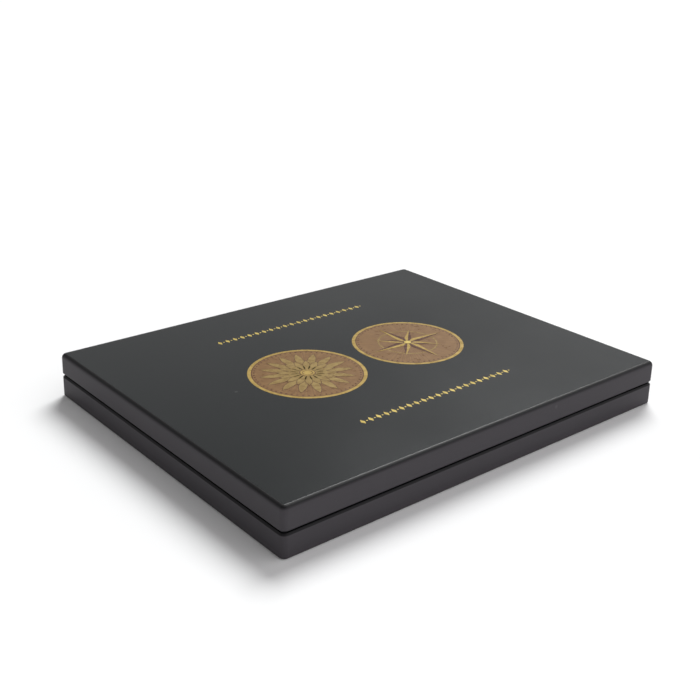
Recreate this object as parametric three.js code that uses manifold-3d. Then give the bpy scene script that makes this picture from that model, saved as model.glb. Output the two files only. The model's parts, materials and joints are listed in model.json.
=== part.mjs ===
// A lacquered presentation case for thirty one-ounce coins in round capsules.
// Two shallow halves of equal height meet at a dark gap between two bevels, all the way round. At
// the back the hinge axis lies between the bevels, so they close on each other behind the open lid.
// Millimetres, +Z up, the front faces -Y, origin in the middle of the footprint.

import * as THREE from 'three';
import { mergeVertices } from 'three/addons/utils/BufferGeometryUtils.js';
import Module from 'manifold-3d';

// Outside of the closed case
const CASE_WIDTH = 305;
const CASE_DEPTH = 245;
const CASE_HEIGHT = 30;
const PARTING_HEIGHT = 15;
const PARTING_GAP = 0.3;
const CORNER_RADIUS = 3.6;
const TOP_EDGE_RADIUS = 3;
const BOTTOM_EDGE_RADIUS = 0.8;

// Gap between the halves. It opens outwards through a bevel on each half, and the bevels rise so
// high that the halves would meet behind the hinge axis when the lid is past its full swing
const SHADOW_GAP = 0.9;
const SHADOW_GAP_DEPTH = 2.4;
const BEVEL_DEPTH = 1;
const AXIS_INSET = 1.3;
const BEVELS_MEET_DEGREES = 98;

// Boards
const WALL_THICKNESS = 9;
const LID_TOP_THICKNESS = 4;
const PANEL_THICKNESS = 3;
const PANEL_REBATE = 4;
const GLUE_GAP = 0.3;
const FELT_THICKNESS = 0.6;
const FELT_PROUD = 0.3;
const FELT_BORDER = 4;

// Coin tray
const SEAT_DIAMETER = 37;
const SEAT_EDGE_CHAMFER = 0.9;
const SEAT_COLUMNS = 6;
const SEAT_ROWS = 5;
const TRAY_BELOW_RIM = 0.95;
const TRAY_CORNER_RADIUS = 1.5;
const TRAY_FLOOR_THICKNESS = 1.7;
const FOAM_THICKNESS = 1.1;

// Lid lining: a satin cushion on a card
const CARD_THICKNESS = 1;
const CUSHION_EDGE_THICKNESS = 3.4;
const CUSHION_CROWN = 2.4;
const CUSHION_DRAW_IN = 0.8;
const CUSHION_EDGE_ROUND = 2.4;
const CUSHION_SIDE_SHARE = 0.4;
const CUSHION_FLATNESS = 4;

// Hinges
const HINGE_FROM_SIDE = 64.5;
const HINGE_LENGTH = 30;
const KNUCKLE_COUNT = 5;
const KNUCKLE_GAP = 0.3;
const KNUCKLE_WALL = 0.5;
const LEAF_REACH = 6.2;
const LEAF_THICKNESS = 0.8;
const LEAF_CORNER_RADIUS = 1.2;
const PIN_RADIUS = 0.5;
const PIN_HEAD_RADIUS = 1;
const PIN_HEAD_LENGTH = 0.6;
const PIN_DOME_SHARE = 0.7;
const RUNNING_GAP = 0.3;

// Countersunk wood screws
const SCREW_HEAD_RADIUS = 1.5;
const SCREW_SHANK_RADIUS = 0.8;
const SCREW_LENGTH = 6;
const SCREW_TIP_LENGTH = 1.6;
const SCREW_SPREAD = 8.5;
const SCREW_FROM_LEAF_EDGE = 2.2;
const SLOT_WIDTH = 0.45;
const SLOT_DEPTH = 0.35;

// Magnets let into the front rims
const MAGNET_RADIUS = 2;
const MAGNET_LENGTH = 3;
const MAGNET_CHAMFER = 0.3;
const MAGNET_FROM_SIDE = 48.5;

// How round shapes are divided
const CORNER_STEPS = 6;
const EDGE_STEPS = 6;
const SEAT_STEPS = 28;
const ROD_STEPS = 16;
const CUSHION_COLUMNS = 20;
const CUSHION_ROWS = 16;
const CUT_OVERRUN = 5;

// Worked out from the sizes above
const CENTRE = 0;
const HALF_WIDTH = CASE_WIDTH / 2;
const HALF_DEPTH = CASE_DEPTH / 2;
const HALF_OPENING = AXIS_INSET * Math.tan(THREE.MathUtils.degToRad(BEVELS_MEET_DEGREES / 2));
const BASE_RIM = PARTING_HEIGHT - PARTING_GAP / 2;
const LID_RIM = PARTING_HEIGHT + PARTING_GAP / 2;
const BASE_EDGE = PARTING_HEIGHT - SHADOW_GAP / 2;
const LID_EDGE = PARTING_HEIGHT + SHADOW_GAP / 2;
const INNER_WIDTH = CASE_WIDTH - 2 * WALL_THICKNESS;
const INNER_DEPTH = CASE_DEPTH - 2 * WALL_THICKNESS;
const AXIS_Y = HALF_DEPTH - AXIS_INSET;
const HINGE_CENTRE_X = HALF_WIDTH - HINGE_FROM_SIDE;
const MAGNET_CENTRE_X = HALF_WIDTH - MAGNET_FROM_SIDE;
const FRAME_BOTTOM = FELT_PROUD;
const PANEL_BOTTOM = FELT_THICKNESS + GLUE_GAP;
const PANEL_TOP = PANEL_BOTTOM + PANEL_THICKNESS;
const FOAM_BOTTOM = PANEL_TOP + GLUE_GAP;
const FOAM_TOP = FOAM_BOTTOM + FOAM_THICKNESS;
const TRAY_FLOOR_BOTTOM = FOAM_TOP + GLUE_GAP;
const TRAY_FLOOR_TOP = TRAY_FLOOR_BOTTOM + TRAY_FLOOR_THICKNESS;
const TRAY_TOP = BASE_RIM - TRAY_BELOW_RIM;
const LID_CEILING = CASE_HEIGHT - LID_TOP_THICKNESS;
const CARD_BOTTOM = LID_CEILING - GLUE_GAP - CARD_THICKNESS;
const CUSHION_BACK = CARD_BOTTOM - GLUE_GAP;
const KNUCKLE_BORE = PIN_RADIUS + RUNNING_GAP;
const KNUCKLE_RADIUS = KNUCKLE_BORE + KNUCKLE_WALL;
const RELIEF_RADIUS = (KNUCKLE_RADIUS + RUNNING_GAP) / Math.cos(Math.PI / ROD_STEPS);
const KNUCKLE_LENGTH = (HINGE_LENGTH - (KNUCKLE_COUNT - 1) * KNUCKLE_GAP) / KNUCKLE_COUNT;
const POCKET_LENGTH = HINGE_LENGTH + 2 * (PIN_HEAD_LENGTH + 2 * RUNNING_GAP);
const SCREW_Y = AXIS_Y - LEAF_REACH + SCREW_FROM_LEAF_EDGE;
const MAGNET_Y = -HALF_DEPTH + (SHADOW_GAP_DEPTH + WALL_THICKNESS) / 2;
const SIDES = [['left', -1], ['right', 1]];

const manifold = await Module();
manifold.setup();

/** A closed geometry as a solid for joining and cutting. */
function solidOf(geometry) {
  const bare = geometry.clone();
  bare.deleteAttribute('normal');
  bare.deleteAttribute('uv');
  const merged = mergeVertices(bare);
  return new manifold.Manifold(new manifold.Mesh({
    numProp: 3,
    vertProperties: new Float32Array(merged.attributes.position.array),
    triVerts: new Uint32Array(merged.index.array),
  }));
}

/** A solid as a geometry that a mesh can show. */
function geometryOf(solid) {
  const mesh = solid.getMesh();
  const geometry = new THREE.BufferGeometry();
  geometry.setAttribute('position', new THREE.BufferAttribute(mesh.vertProperties, mesh.numProp));
  geometry.setIndex(new THREE.BufferAttribute(mesh.triVerts, 1));
  geometry.computeVertexNormals();
  return geometry;
}

/** A box between two heights, centred on a point of the plan. */
function block(width, depth, bottom, top, x = CENTRE, y = CENTRE) {
  return new THREE.BoxGeometry(width, depth, top - bottom).translate(x, y, (bottom + top) / 2);
}

/** A turned piece from a profile of [radius, height] pairs, its axis along Z. */
function turned(profile, steps = ROD_STEPS) {
  const points = profile.map(([radius, height]) => new THREE.Vector2(radius, height));
  return new THREE.LatheGeometry(points, steps).rotateX(Math.PI / 2);
}

/** A round rod along X between two stations, on the hinge axis. */
function rodOnAxis(radius, from, to) {
  return turned([[0, from], [radius, from], [radius, to], [0, to]])
    .rotateY(Math.PI / 2)
    .translate(0, AXIS_Y, PARTING_HEIGHT);
}

/** A rectangle with rounded corners as a shape. */
function roundedRectangle(width, depth, radius) {
  const [x, y] = [width / 2, depth / 2];
  const shape = new THREE.Shape();
  shape.moveTo(x - radius, -y);
  shape.absarc(x - radius, -y + radius, radius, -Math.PI / 2, 0);
  shape.absarc(x - radius, y - radius, radius, 0, Math.PI / 2);
  shape.absarc(-x + radius, y - radius, radius, Math.PI / 2, Math.PI);
  shape.absarc(-x + radius, -y + radius, radius, Math.PI, Math.PI * 1.5);
  return shape;
}

/** A flat sheet or board cut from a shape, between two heights. */
function sheet(shape, bottom, top) {
  return new THREE.ExtrudeGeometry(shape, {
    depth: top - bottom,
    bevelEnabled: false,
    curveSegments: CORNER_STEPS,
  }).translate(0, 0, bottom);
}

/** A closed surface through rings of equally many points, with a flat cap at each end. */
function loft(rings) {
  const count = rings[0].length;
  const positions = rings.flat().flatMap((point) => point.toArray());
  const index = [];
  for (let ring = 0; ring < rings.length - 1; ring += 1) {
    for (let i = 0; i < count; i += 1) {
      const here = ring * count + i;
      const next = ring * count + ((i + 1) % count);
      index.push(here, next, next + count, here, next + count, here + count);
    }
  }
  const last = (rings.length - 1) * count;
  for (let i = 1; i < count - 1; i += 1) {
    index.push(0, i + 1, i);
    index.push(last, last + i, last + i + 1);
  }
  const geometry = new THREE.BufferGeometry();
  geometry.setAttribute('position', new THREE.Float32BufferAttribute(positions, 3));
  geometry.setIndex(index);
  return geometry;
}

/** One ring of a case half: its rounded outline, drawn in by an inset, at a height. */
function outlineRing({ inset, height }) {
  const radius = CORNER_RADIUS - inset;
  const corners = [[1, -1, -0.5], [1, 1, 0], [-1, 1, 0.5], [-1, -1, 1]];
  return corners.flatMap(([sideX, sideY, startHalfTurns]) => {
    const centreX = sideX * (HALF_WIDTH - CORNER_RADIUS);
    const centreY = sideY * (HALF_DEPTH - CORNER_RADIUS);
    return Array.from({ length: CORNER_STEPS + 1 }, (_, step) => {
      const angle = Math.PI * (startHalfTurns + step / CORNER_STEPS / 2);
      return new THREE.Vector3(
        centreX + radius * Math.cos(angle),
        centreY + radius * Math.sin(angle),
        height,
      );
    });
  });
}

/** Levels of a quarter-round edge that ends flat at a height; toward is 1 upwards, -1 downwards. */
function roundedEdge(radius, height, toward) {
  return Array.from({ length: EDGE_STEPS + 1 }, (_, step) => {
    const angle = (Math.PI / 2) * (step / EDGE_STEPS);
    return {
      inset: radius * (1 - Math.cos(angle)),
      height: height - toward * radius * (1 - Math.sin(angle)),
    };
  });
}

/** The space that one hinge takes out of both halves: the round pocket for its knuckles. */
function knucklePocket(centreX) {
  return rodOnAxis(RELIEF_RADIUS, centreX - POCKET_LENGTH / 2, centreX + POCKET_LENGTH / 2);
}

/** Cuts a list of geometries out of a solid. */
function cut(solid, tools) {
  return tools.reduce((rest, tool) => rest.subtract(solidOf(tool)), solid);
}

/** The mortises, pockets and pilot holes that a half needs for its hinges and magnets. */
function hardwareCuts(rim, inward) {
  const leafX = HINGE_LENGTH + 2 * RUNNING_GAP;
  const leafY = LEAF_REACH + RUNNING_GAP;
  const deep = (depth) => {
    const ends = [rim + inward * depth, rim - inward * CUT_OVERRUN];
    return [Math.min(...ends), Math.max(...ends)];
  };
  const pilotDepth = SCREW_LENGTH + RUNNING_GAP;
  return SIDES.flatMap(([, side]) => {
    const hingeX = side * HINGE_CENTRE_X;
    const pilot = (x) => {
      const radius = SCREW_SHANK_RADIUS + GLUE_GAP;
      const [low, high] = deep(pilotDepth);
      return turned([[0, low], [radius, low], [radius, high], [0, high]]).translate(x, SCREW_Y, 0);
    };
    const magnetRadius = MAGNET_RADIUS + GLUE_GAP;
    const [low, high] = deep(MAGNET_LENGTH + GLUE_GAP);
    return [
      block(leafX, leafY, ...deep(LEAF_THICKNESS + GLUE_GAP), hingeX, AXIS_Y - leafY / 2),
      knucklePocket(hingeX),
      pilot(hingeX - SCREW_SPREAD),
      pilot(hingeX + SCREW_SPREAD),
      turned([[0, low], [magnetRadius, low], [magnetRadius, high], [0, high]])
        .translate(side * MAGNET_CENTRE_X, MAGNET_Y, 0),
    ];
  });
}

/** Lower half: four mitred walls in one ring, bevelled at the rim, rebated for the bottom panel. */
function baseFrame() {
  const levels = [
    ...roundedEdge(BOTTOM_EDGE_RADIUS, FRAME_BOTTOM, -1).reverse(),
    { inset: 0, height: PARTING_HEIGHT - HALF_OPENING },
    { inset: BEVEL_DEPTH, height: BASE_EDGE },
    { inset: SHADOW_GAP_DEPTH, height: BASE_EDGE },
    { inset: SHADOW_GAP_DEPTH, height: BASE_RIM },
  ];
  const rebateWidth = INNER_WIDTH + 2 * PANEL_REBATE;
  const rebateDepth = INNER_DEPTH + 2 * PANEL_REBATE;
  const feltX = CASE_WIDTH - 2 * FELT_BORDER + 2 * GLUE_GAP;
  const feltY = CASE_DEPTH - 2 * FELT_BORDER + 2 * GLUE_GAP;
  const below = FRAME_BOTTOM - CUT_OVERRUN;
  return geometryOf(cut(solidOf(loft(levels.map(outlineRing))), [
    block(INNER_WIDTH, INNER_DEPTH, below, BASE_RIM + CUT_OVERRUN),
    block(rebateWidth, rebateDepth, below, PANEL_TOP + GLUE_GAP),
    sheet(roundedRectangle(feltX, feltY, CORNER_RADIUS), below, PANEL_BOTTOM),
    ...hardwareCuts(BASE_RIM, -1),
  ]));
}

/** Upper half: walls and top in one lacquered shell with a soft round along the top edge. */
function lidShell() {
  const levels = [
    { inset: SHADOW_GAP_DEPTH, height: LID_RIM },
    { inset: SHADOW_GAP_DEPTH, height: LID_EDGE },
    { inset: BEVEL_DEPTH, height: LID_EDGE },
    { inset: 0, height: PARTING_HEIGHT + HALF_OPENING },
    ...roundedEdge(TOP_EDGE_RADIUS, CASE_HEIGHT, 1),
  ];
  return geometryOf(cut(solidOf(loft(levels.map(outlineRing))), [
    block(INNER_WIDTH, INNER_DEPTH, LID_RIM - CUT_OVERRUN, LID_CEILING),
    ...hardwareCuts(LID_RIM, 1),
  ]));
}

/** Bottom panel, let into the rebate from below. */
function basePanel() {
  const slack = 2 * (PANEL_REBATE - GLUE_GAP);
  return block(INNER_WIDTH + slack, INNER_DEPTH + slack, PANEL_BOTTOM, PANEL_TOP);
}

/** Felt under the case, which it stands on. */
function baseFelt() {
  const width = CASE_WIDTH - 2 * FELT_BORDER;
  const depth = CASE_DEPTH - 2 * FELT_BORDER;
  return sheet(roundedRectangle(width, depth, CORNER_RADIUS), 0, FELT_THICKNESS);
}

/** Plan of everything that lies inside the walls, with a little room round it. */
function liningShape() {
  return roundedRectangle(INNER_WIDTH - 2 * GLUE_GAP, INNER_DEPTH - 2 * GLUE_GAP, TRAY_CORNER_RADIUS);
}

/** Foam sheet that pushes the tray up against the glue line. */
function trayFoam() {
  return sheet(liningShape(), FOAM_BOTTOM, FOAM_TOP);
}

/** Velvet-covered card that makes the floor of every seat. */
function trayFloor() {
  return sheet(liningShape(), TRAY_FLOOR_BOTTOM, TRAY_FLOOR_TOP);
}

/** Centres of the coin seats: equal bands of board between seats and round the edge. */
function seatCentres() {
  const span = (length, count) => {
    const band = (length - count * SEAT_DIAMETER) / (count + 1);
    const pitch = SEAT_DIAMETER + band;
    return Array.from({ length: count }, (_, i) => (i - (count - 1) / 2) * pitch);
  };
  const columns = span(INNER_WIDTH - 2 * GLUE_GAP, SEAT_COLUMNS);
  const rows = span(INNER_DEPTH - 2 * GLUE_GAP, SEAT_ROWS);
  return rows.flatMap((y) => columns.map((x) => [x, y]));
}

/** Velvet-covered board with a round seat for each capsule, its upper edges softened. */
function trayBoard() {
  const bottom = TRAY_FLOOR_TOP + GLUE_GAP;
  const board = solidOf(sheet(liningShape(), bottom, TRAY_TOP));
  const radius = SEAT_DIAMETER / 2;
  const mouth = radius + SEAT_EDGE_CHAMFER;
  const profile = [
    [0, bottom - CUT_OVERRUN],
    [radius, bottom - CUT_OVERRUN],
    [radius, TRAY_TOP - SEAT_EDGE_CHAMFER],
    [mouth, TRAY_TOP],
    [mouth, TRAY_TOP + CUT_OVERRUN],
    [0, TRAY_TOP + CUT_OVERRUN],
  ];
  const seats = seatCentres().map(([x, y]) => turned(profile, SEAT_STEPS).translate(x, y, 0));
  return geometryOf(cut(board, seats));
}

/** Card glued under the lid, which carries the cushion. */
function lidCard() {
  return sheet(liningShape(), CARD_BOTTOM, LID_CEILING - GLUE_GAP);
}

/**
 * Satin over foam: flat on its card, crowned towards the coins, with soft edges
 * and sides drawn in a little between the corners.
 */
function lidCushion() {
  const halfWidth = INNER_WIDTH / 2 - GLUE_GAP;
  const halfDepth = INNER_DEPTH / 2 - GLUE_GAP;
  const share = (i, count) => Math.sin((Math.PI / 2) * ((2 * i) / count - 1));
  const swell = (along) => 1 - along ** CUSHION_FLATNESS;
  const facePoint = (u, v) => {
    const x = u * (halfWidth - CUSHION_DRAW_IN * swell(v));
    const y = v * (halfDepth - CUSHION_DRAW_IN * swell(u));
    const fromEdge = Math.min((1 - Math.abs(u)) * halfWidth, (1 - Math.abs(v)) * halfDepth);
    const turnShare = Math.min(1, fromEdge / CUSHION_EDGE_ROUND);
    const roundShare = (1 - CUSHION_SIDE_SHARE) * Math.sqrt(turnShare * (2 - turnShare));
    const edge = CUSHION_EDGE_THICKNESS * (CUSHION_SIDE_SHARE + roundShare);
    return new THREE.Vector3(x, y, CUSHION_BACK - edge - CUSHION_CROWN * swell(u) * swell(v));
  };
  const columns = CUSHION_COLUMNS + 1;
  const face = [];
  for (let row = 0; row <= CUSHION_ROWS; row += 1) {
    for (let column = 0; column < columns; column += 1) {
      face.push(facePoint(share(column, CUSHION_COLUMNS), share(row, CUSHION_ROWS)));
    }
  }
  const back = face.map(({ x, y }) => new THREE.Vector3(x, y, CUSHION_BACK));
  const index = [];
  const quad = (a, b, c, d) => index.push(a, b, c, a, c, d);
  const at = (column, row) => row * columns + column;
  for (let row = 0; row < CUSHION_ROWS; row += 1) {
    for (let column = 0; column < CUSHION_COLUMNS; column += 1) {
      const near = [at(column, row), at(column, row + 1)];
      const far = [at(column + 1, row + 1), at(column + 1, row)];
      quad(...near, ...far);
      quad(...[...near, ...far].map((i) => i + face.length).reverse());
    }
  }
  const side = (from, to) => quad(from, to, to + face.length, from + face.length);
  for (let column = 0; column < CUSHION_COLUMNS; column += 1) {
    side(at(column, 0), at(column + 1, 0));
    side(at(column + 1, CUSHION_ROWS), at(column, CUSHION_ROWS));
  }
  for (let row = 0; row < CUSHION_ROWS; row += 1) {
    side(at(0, row + 1), at(0, row));
    side(at(CUSHION_COLUMNS, row), at(CUSHION_COLUMNS, row + 1));
  }
  const geometry = new THREE.BufferGeometry();
  const positions = [...face, ...back].flatMap((point) => point.toArray());
  geometry.setAttribute('position', new THREE.Float32BufferAttribute(positions, 3));
  geometry.setIndex(index);
  geometry.computeVertexNormals();
  return geometry;
}

/** Start and end of each knuckle along the hinge. */
function knuckleStations(centreX) {
  return Array.from({ length: KNUCKLE_COUNT }, (_, i) => {
    const start = centreX - HINGE_LENGTH / 2 + i * (KNUCKLE_LENGTH + KNUCKLE_GAP);
    return [start, start + KNUCKLE_LENGTH];
  });
}

/** A profile listed from the rim inwards as a turned piece, whichever way is inward. */
function turnedInwards(profile, inward) {
  return turned(inward > 0 ? profile : profile.slice().reverse());
}

/** The hole for one countersunk screw through a leaf. */
function countersink(rim, inward) {
  const head = SCREW_HEAD_RADIUS + GLUE_GAP;
  const shank = SCREW_SHANK_RADIUS + GLUE_GAP;
  const outer = rim - inward * CUT_OVERRUN;
  const neck = rim + inward * (head - shank);
  const inner = rim + inward * (LEAF_THICKNESS + CUT_OVERRUN);
  const profile = [[0, outer], [head, outer], [head, rim], [shank, neck], [shank, inner], [0, inner]];
  return turnedInwards(profile, inward);
}

/**
 * One hinge leaf: a plate in the rim with countersunk holes, rolled into every second knuckle.
 * parity picks the knuckles, inward is -1 for the base and 1 for the lid.
 */
function hingeLeaf(centreX, parity, rim, inward) {
  const stations = knuckleStations(centreX);
  const [bottom, top] = [rim, rim + inward * LEAF_THICKNESS].sort((a, b) => a - b);
  const half = HINGE_LENGTH / 2;
  const plan = new THREE.Shape();
  plan.moveTo(half, 0);
  plan.lineTo(-half, 0);
  plan.lineTo(-half, -LEAF_REACH + LEAF_CORNER_RADIUS);
  plan.absarc(
    -half + LEAF_CORNER_RADIUS,
    -LEAF_REACH + LEAF_CORNER_RADIUS,
    LEAF_CORNER_RADIUS,
    Math.PI,
    Math.PI * 1.5,
  );
  plan.absarc(
    half - LEAF_CORNER_RADIUS,
    -LEAF_REACH + LEAF_CORNER_RADIUS,
    LEAF_CORNER_RADIUS,
    Math.PI * 1.5,
    Math.PI * 2,
  );
  const isOwn = (_, i) => i % 2 === parity;
  const own = stations.filter(isOwn).map(([from, to]) => solidOf(rodOnAxis(KNUCKLE_RADIUS, from, to)));
  const plate = solidOf(sheet(plan, bottom, top).translate(centreX, AXIS_Y, 0));
  const leaf = own.reduce((joined, knuckle) => joined.add(knuckle), plate);

  const reliefs = stations
    .filter((station, i) => !isOwn(station, i))
    .map(([from, to]) => rodOnAxis(
      RELIEF_RADIUS,
      from === stations[0][0] ? from - CUT_OVERRUN : from - KNUCKLE_GAP,
      to === stations[KNUCKLE_COUNT - 1][1] ? to + CUT_OVERRUN : to + KNUCKLE_GAP,
    ));
  const bore = rodOnAxis(KNUCKLE_BORE, centreX - half - CUT_OVERRUN, centreX + half + CUT_OVERRUN);
  const holes = [-SCREW_SPREAD, SCREW_SPREAD].map(
    (offset) => countersink(rim, inward).translate(centreX + offset, SCREW_Y, 0),
  );
  return geometryOf(cut(leaf, [...reliefs, bore, ...holes]));
}

/** Hinge pin with a domed head at each end, just outside the end knuckles. */
function hingePin(centreX) {
  const inner = HINGE_LENGTH / 2 + RUNNING_GAP;
  const outer = inner + PIN_HEAD_LENGTH;
  const neck = inner + PIN_HEAD_LENGTH / 3;
  const end = [[0, outer], [PIN_HEAD_RADIUS * PIN_DOME_SHARE, outer], [PIN_HEAD_RADIUS, neck]];
  const profile = [
    ...end.map(([radius, x]) => [radius, -x]),
    [PIN_HEAD_RADIUS, -inner],
    [PIN_RADIUS, -inner],
    [PIN_RADIUS, inner],
    [PIN_HEAD_RADIUS, inner],
    ...end.slice().reverse(),
  ];
  return turned(profile).rotateY(Math.PI / 2).translate(centreX, AXIS_Y, PARTING_HEIGHT);
}

/** Countersunk screw, head flush with the rim; inward is -1 into the base and 1 into the lid. */
function screw(x, rim, inward) {
  const at = (depth) => inward * depth;
  const neck = SCREW_HEAD_RADIUS - SCREW_SHANK_RADIUS;
  const profile = [
    [0, at(0)],
    [SCREW_HEAD_RADIUS, at(0)],
    [SCREW_SHANK_RADIUS, at(neck)],
    [SCREW_SHANK_RADIUS, at(SCREW_LENGTH - SCREW_TIP_LENGTH)],
    [0, at(SCREW_LENGTH)],
  ];
  const body = solidOf(turnedInwards(profile, inward));
  const ends = [at(SLOT_DEPTH), at(-CUT_OVERRUN)].sort((a, b) => a - b);
  const slot = block(2 * SCREW_HEAD_RADIUS + CUT_OVERRUN, SLOT_WIDTH, ...ends);
  return geometryOf(cut(body, [slot])).translate(x, SCREW_Y, rim);
}

/** Disc magnet, its face flush with the rim. */
function magnet(x, rim, inward) {
  const at = (depth) => inward * depth;
  const profile = [
    [0, at(0)],
    [MAGNET_RADIUS - MAGNET_CHAMFER, at(0)],
    [MAGNET_RADIUS, at(MAGNET_CHAMFER)],
    [MAGNET_RADIUS, at(MAGNET_LENGTH)],
    [0, at(MAGNET_LENGTH)],
  ];
  return turnedInwards(profile, inward).translate(x, MAGNET_Y, rim);
}

// Finishes
const finish = (color, roughness, metalness = 0) => (
  new THREE.MeshStandardMaterial({ color, roughness, metalness })
);
const lacquer = finish(0x2e2e30, 0.45);
const fibreboard = finish(0x6b5237, 0.9);
const felt = finish(0x141415, 1);
const foam = finish(0x2b2b2d, 1);
const velvet = finish(0x0f0f11, 0.95);
const card = finish(0x1c1c1d, 0.8);
const satin = finish(0x151517, 0.35);
const nickel = finish(0xb9b7b0, 0.25, 1);

const coinCase = new THREE.Group();

/** Adds one named piece to a group. */
function place(group, name, geometry, material) {
  const mesh = new THREE.Mesh(geometry, material);
  mesh.name = name;
  group.add(mesh);
}

const base = new THREE.Group();
place(base, 'base_frame', baseFrame(), lacquer);
place(base, 'base_panel', basePanel(), fibreboard);
place(base, 'base_felt', baseFelt(), felt);
place(base, 'tray_foam', trayFoam(), foam);
place(base, 'tray_floor', trayFloor(), velvet);
place(base, 'tray_board', trayBoard(), velvet);

const lid = new THREE.Group();
place(lid, 'lid_shell', lidShell(), lacquer);
place(lid, 'lid_card', lidCard(), card);
place(lid, 'lid_cushion', lidCushion(), satin);

for (const [name, side] of SIDES) {
  const hingeX = side * HINGE_CENTRE_X;
  const magnetX = side * MAGNET_CENTRE_X;
  place(base, `hinge_${name}_base_leaf`, hingeLeaf(hingeX, 0, BASE_RIM, -1), nickel);
  place(lid, `hinge_${name}_lid_leaf`, hingeLeaf(hingeX, 1, LID_RIM, 1), nickel);
  place(base, `hinge_${name}_pin`, hingePin(hingeX), nickel);
  for (const [number, offset] of [[1, -SCREW_SPREAD], [2, SCREW_SPREAD]]) {
    place(base, `hinge_${name}_base_screw_${number}`, screw(hingeX + offset, BASE_RIM, -1), nickel);
    place(lid, `hinge_${name}_lid_screw_${number}`, screw(hingeX + offset, LID_RIM, 1), nickel);
  }
  place(base, `base_magnet_${name}`, magnet(magnetX, BASE_RIM, -1), nickel);
  place(lid, `lid_magnet_${name}`, magnet(magnetX, LID_RIM, 1), nickel);
}

coinCase.add(base, lid);

export default coinCase;
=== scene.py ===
"""A lacquered presentation case for thirty coins, dressed and lit like a product photograph.

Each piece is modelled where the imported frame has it, in metres, and rides on the base or the lid.
"""

import json
import logging
import math
from contextlib import contextmanager
from dataclasses import dataclass
from enum import Enum
from functools import cache
from itertools import pairwise
from typing import Any, Callable, Iterator, Sequence

import bmesh
import bpy
from mathutils import Matrix, Vector


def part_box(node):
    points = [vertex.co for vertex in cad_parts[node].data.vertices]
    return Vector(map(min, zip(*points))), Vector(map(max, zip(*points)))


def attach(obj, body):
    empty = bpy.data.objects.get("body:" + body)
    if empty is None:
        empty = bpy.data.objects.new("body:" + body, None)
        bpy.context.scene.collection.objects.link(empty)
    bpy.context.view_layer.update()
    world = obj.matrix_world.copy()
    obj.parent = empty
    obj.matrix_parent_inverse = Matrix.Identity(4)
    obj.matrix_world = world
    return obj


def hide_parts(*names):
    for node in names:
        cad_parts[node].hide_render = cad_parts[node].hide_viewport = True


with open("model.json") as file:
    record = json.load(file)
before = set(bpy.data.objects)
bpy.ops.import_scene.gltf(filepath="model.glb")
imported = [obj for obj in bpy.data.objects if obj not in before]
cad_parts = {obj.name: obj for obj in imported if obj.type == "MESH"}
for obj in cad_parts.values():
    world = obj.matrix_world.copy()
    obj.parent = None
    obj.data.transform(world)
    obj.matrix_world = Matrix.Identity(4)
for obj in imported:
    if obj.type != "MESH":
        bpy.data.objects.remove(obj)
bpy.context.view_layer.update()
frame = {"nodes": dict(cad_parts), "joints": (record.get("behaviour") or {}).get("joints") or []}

LOG = logging.getLogger("coin_case")
MM = 0.001
TOUCH = 0.02 * MM
ROUND_SIDES = 96
ROD_SIDES = 48
SEAT_SIDES = 72
SCREW_SIDES = 32
MAGNET_SIDES = 64
RING_SIDES = 160
EYE_SIDES = 64
BOSS_SIDES = 48
BEAD_SIDES = 12
CORNER_STEPS = 12
ARRIS_STEPS = 2
PLAIN_CREASE = 32
FINE_CREASE = 40
ROUNDEL_OFFSET = 43 * MM
BAND_OFFSET = 74 * MM
HINGE_AXIS = Vector(frame["joints"][0]["pos_m"])

EdgeTest = Callable[[bmesh.types.BMEdge], bool]
FaceTest = Callable[[bmesh.types.BMFace], bool]
Profile = Sequence[tuple[float, float]]
Colour = tuple[float, float, float, float]
Socket = bpy.types.NodeSocket


class Body(Enum):
    """The two bodies that the hinge joins."""

    BASE = "base"
    LID = "lid"


class Side(Enum):
    """The two ends of the case, with the sign of X there."""

    LEFT = -1
    RIGHT = 1

    @property
    def word(self) -> str:
        """The side's name as the nodes write it."""
        return self.name.lower()


class Slot(Enum):
    """The record's material slots."""

    LACQUER = "lacquer"
    FIBREBOARD = "fibreboard"
    FELT = "felt"
    FOAM = "foam"
    VELVET = "velvet"
    CARD = "card"
    SATIN = "satin"
    NICKEL = "nickel"
    MAGNET = "magnet"


# ---------------------------------------------------------------- finishes


def linear(code: str) -> Colour:
    """Turns a display colour, as six hexadecimal digits, into a shader's linear values."""
    shares = [int(code[i : i + 2], 16) / 255 for i in (0, 2, 4)]
    values = [s / 12.92 if s <= 0.04045 else ((s + 0.055) / 1.055) ** 2.4 for s in shares]
    return (*values, 1.0)


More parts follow.
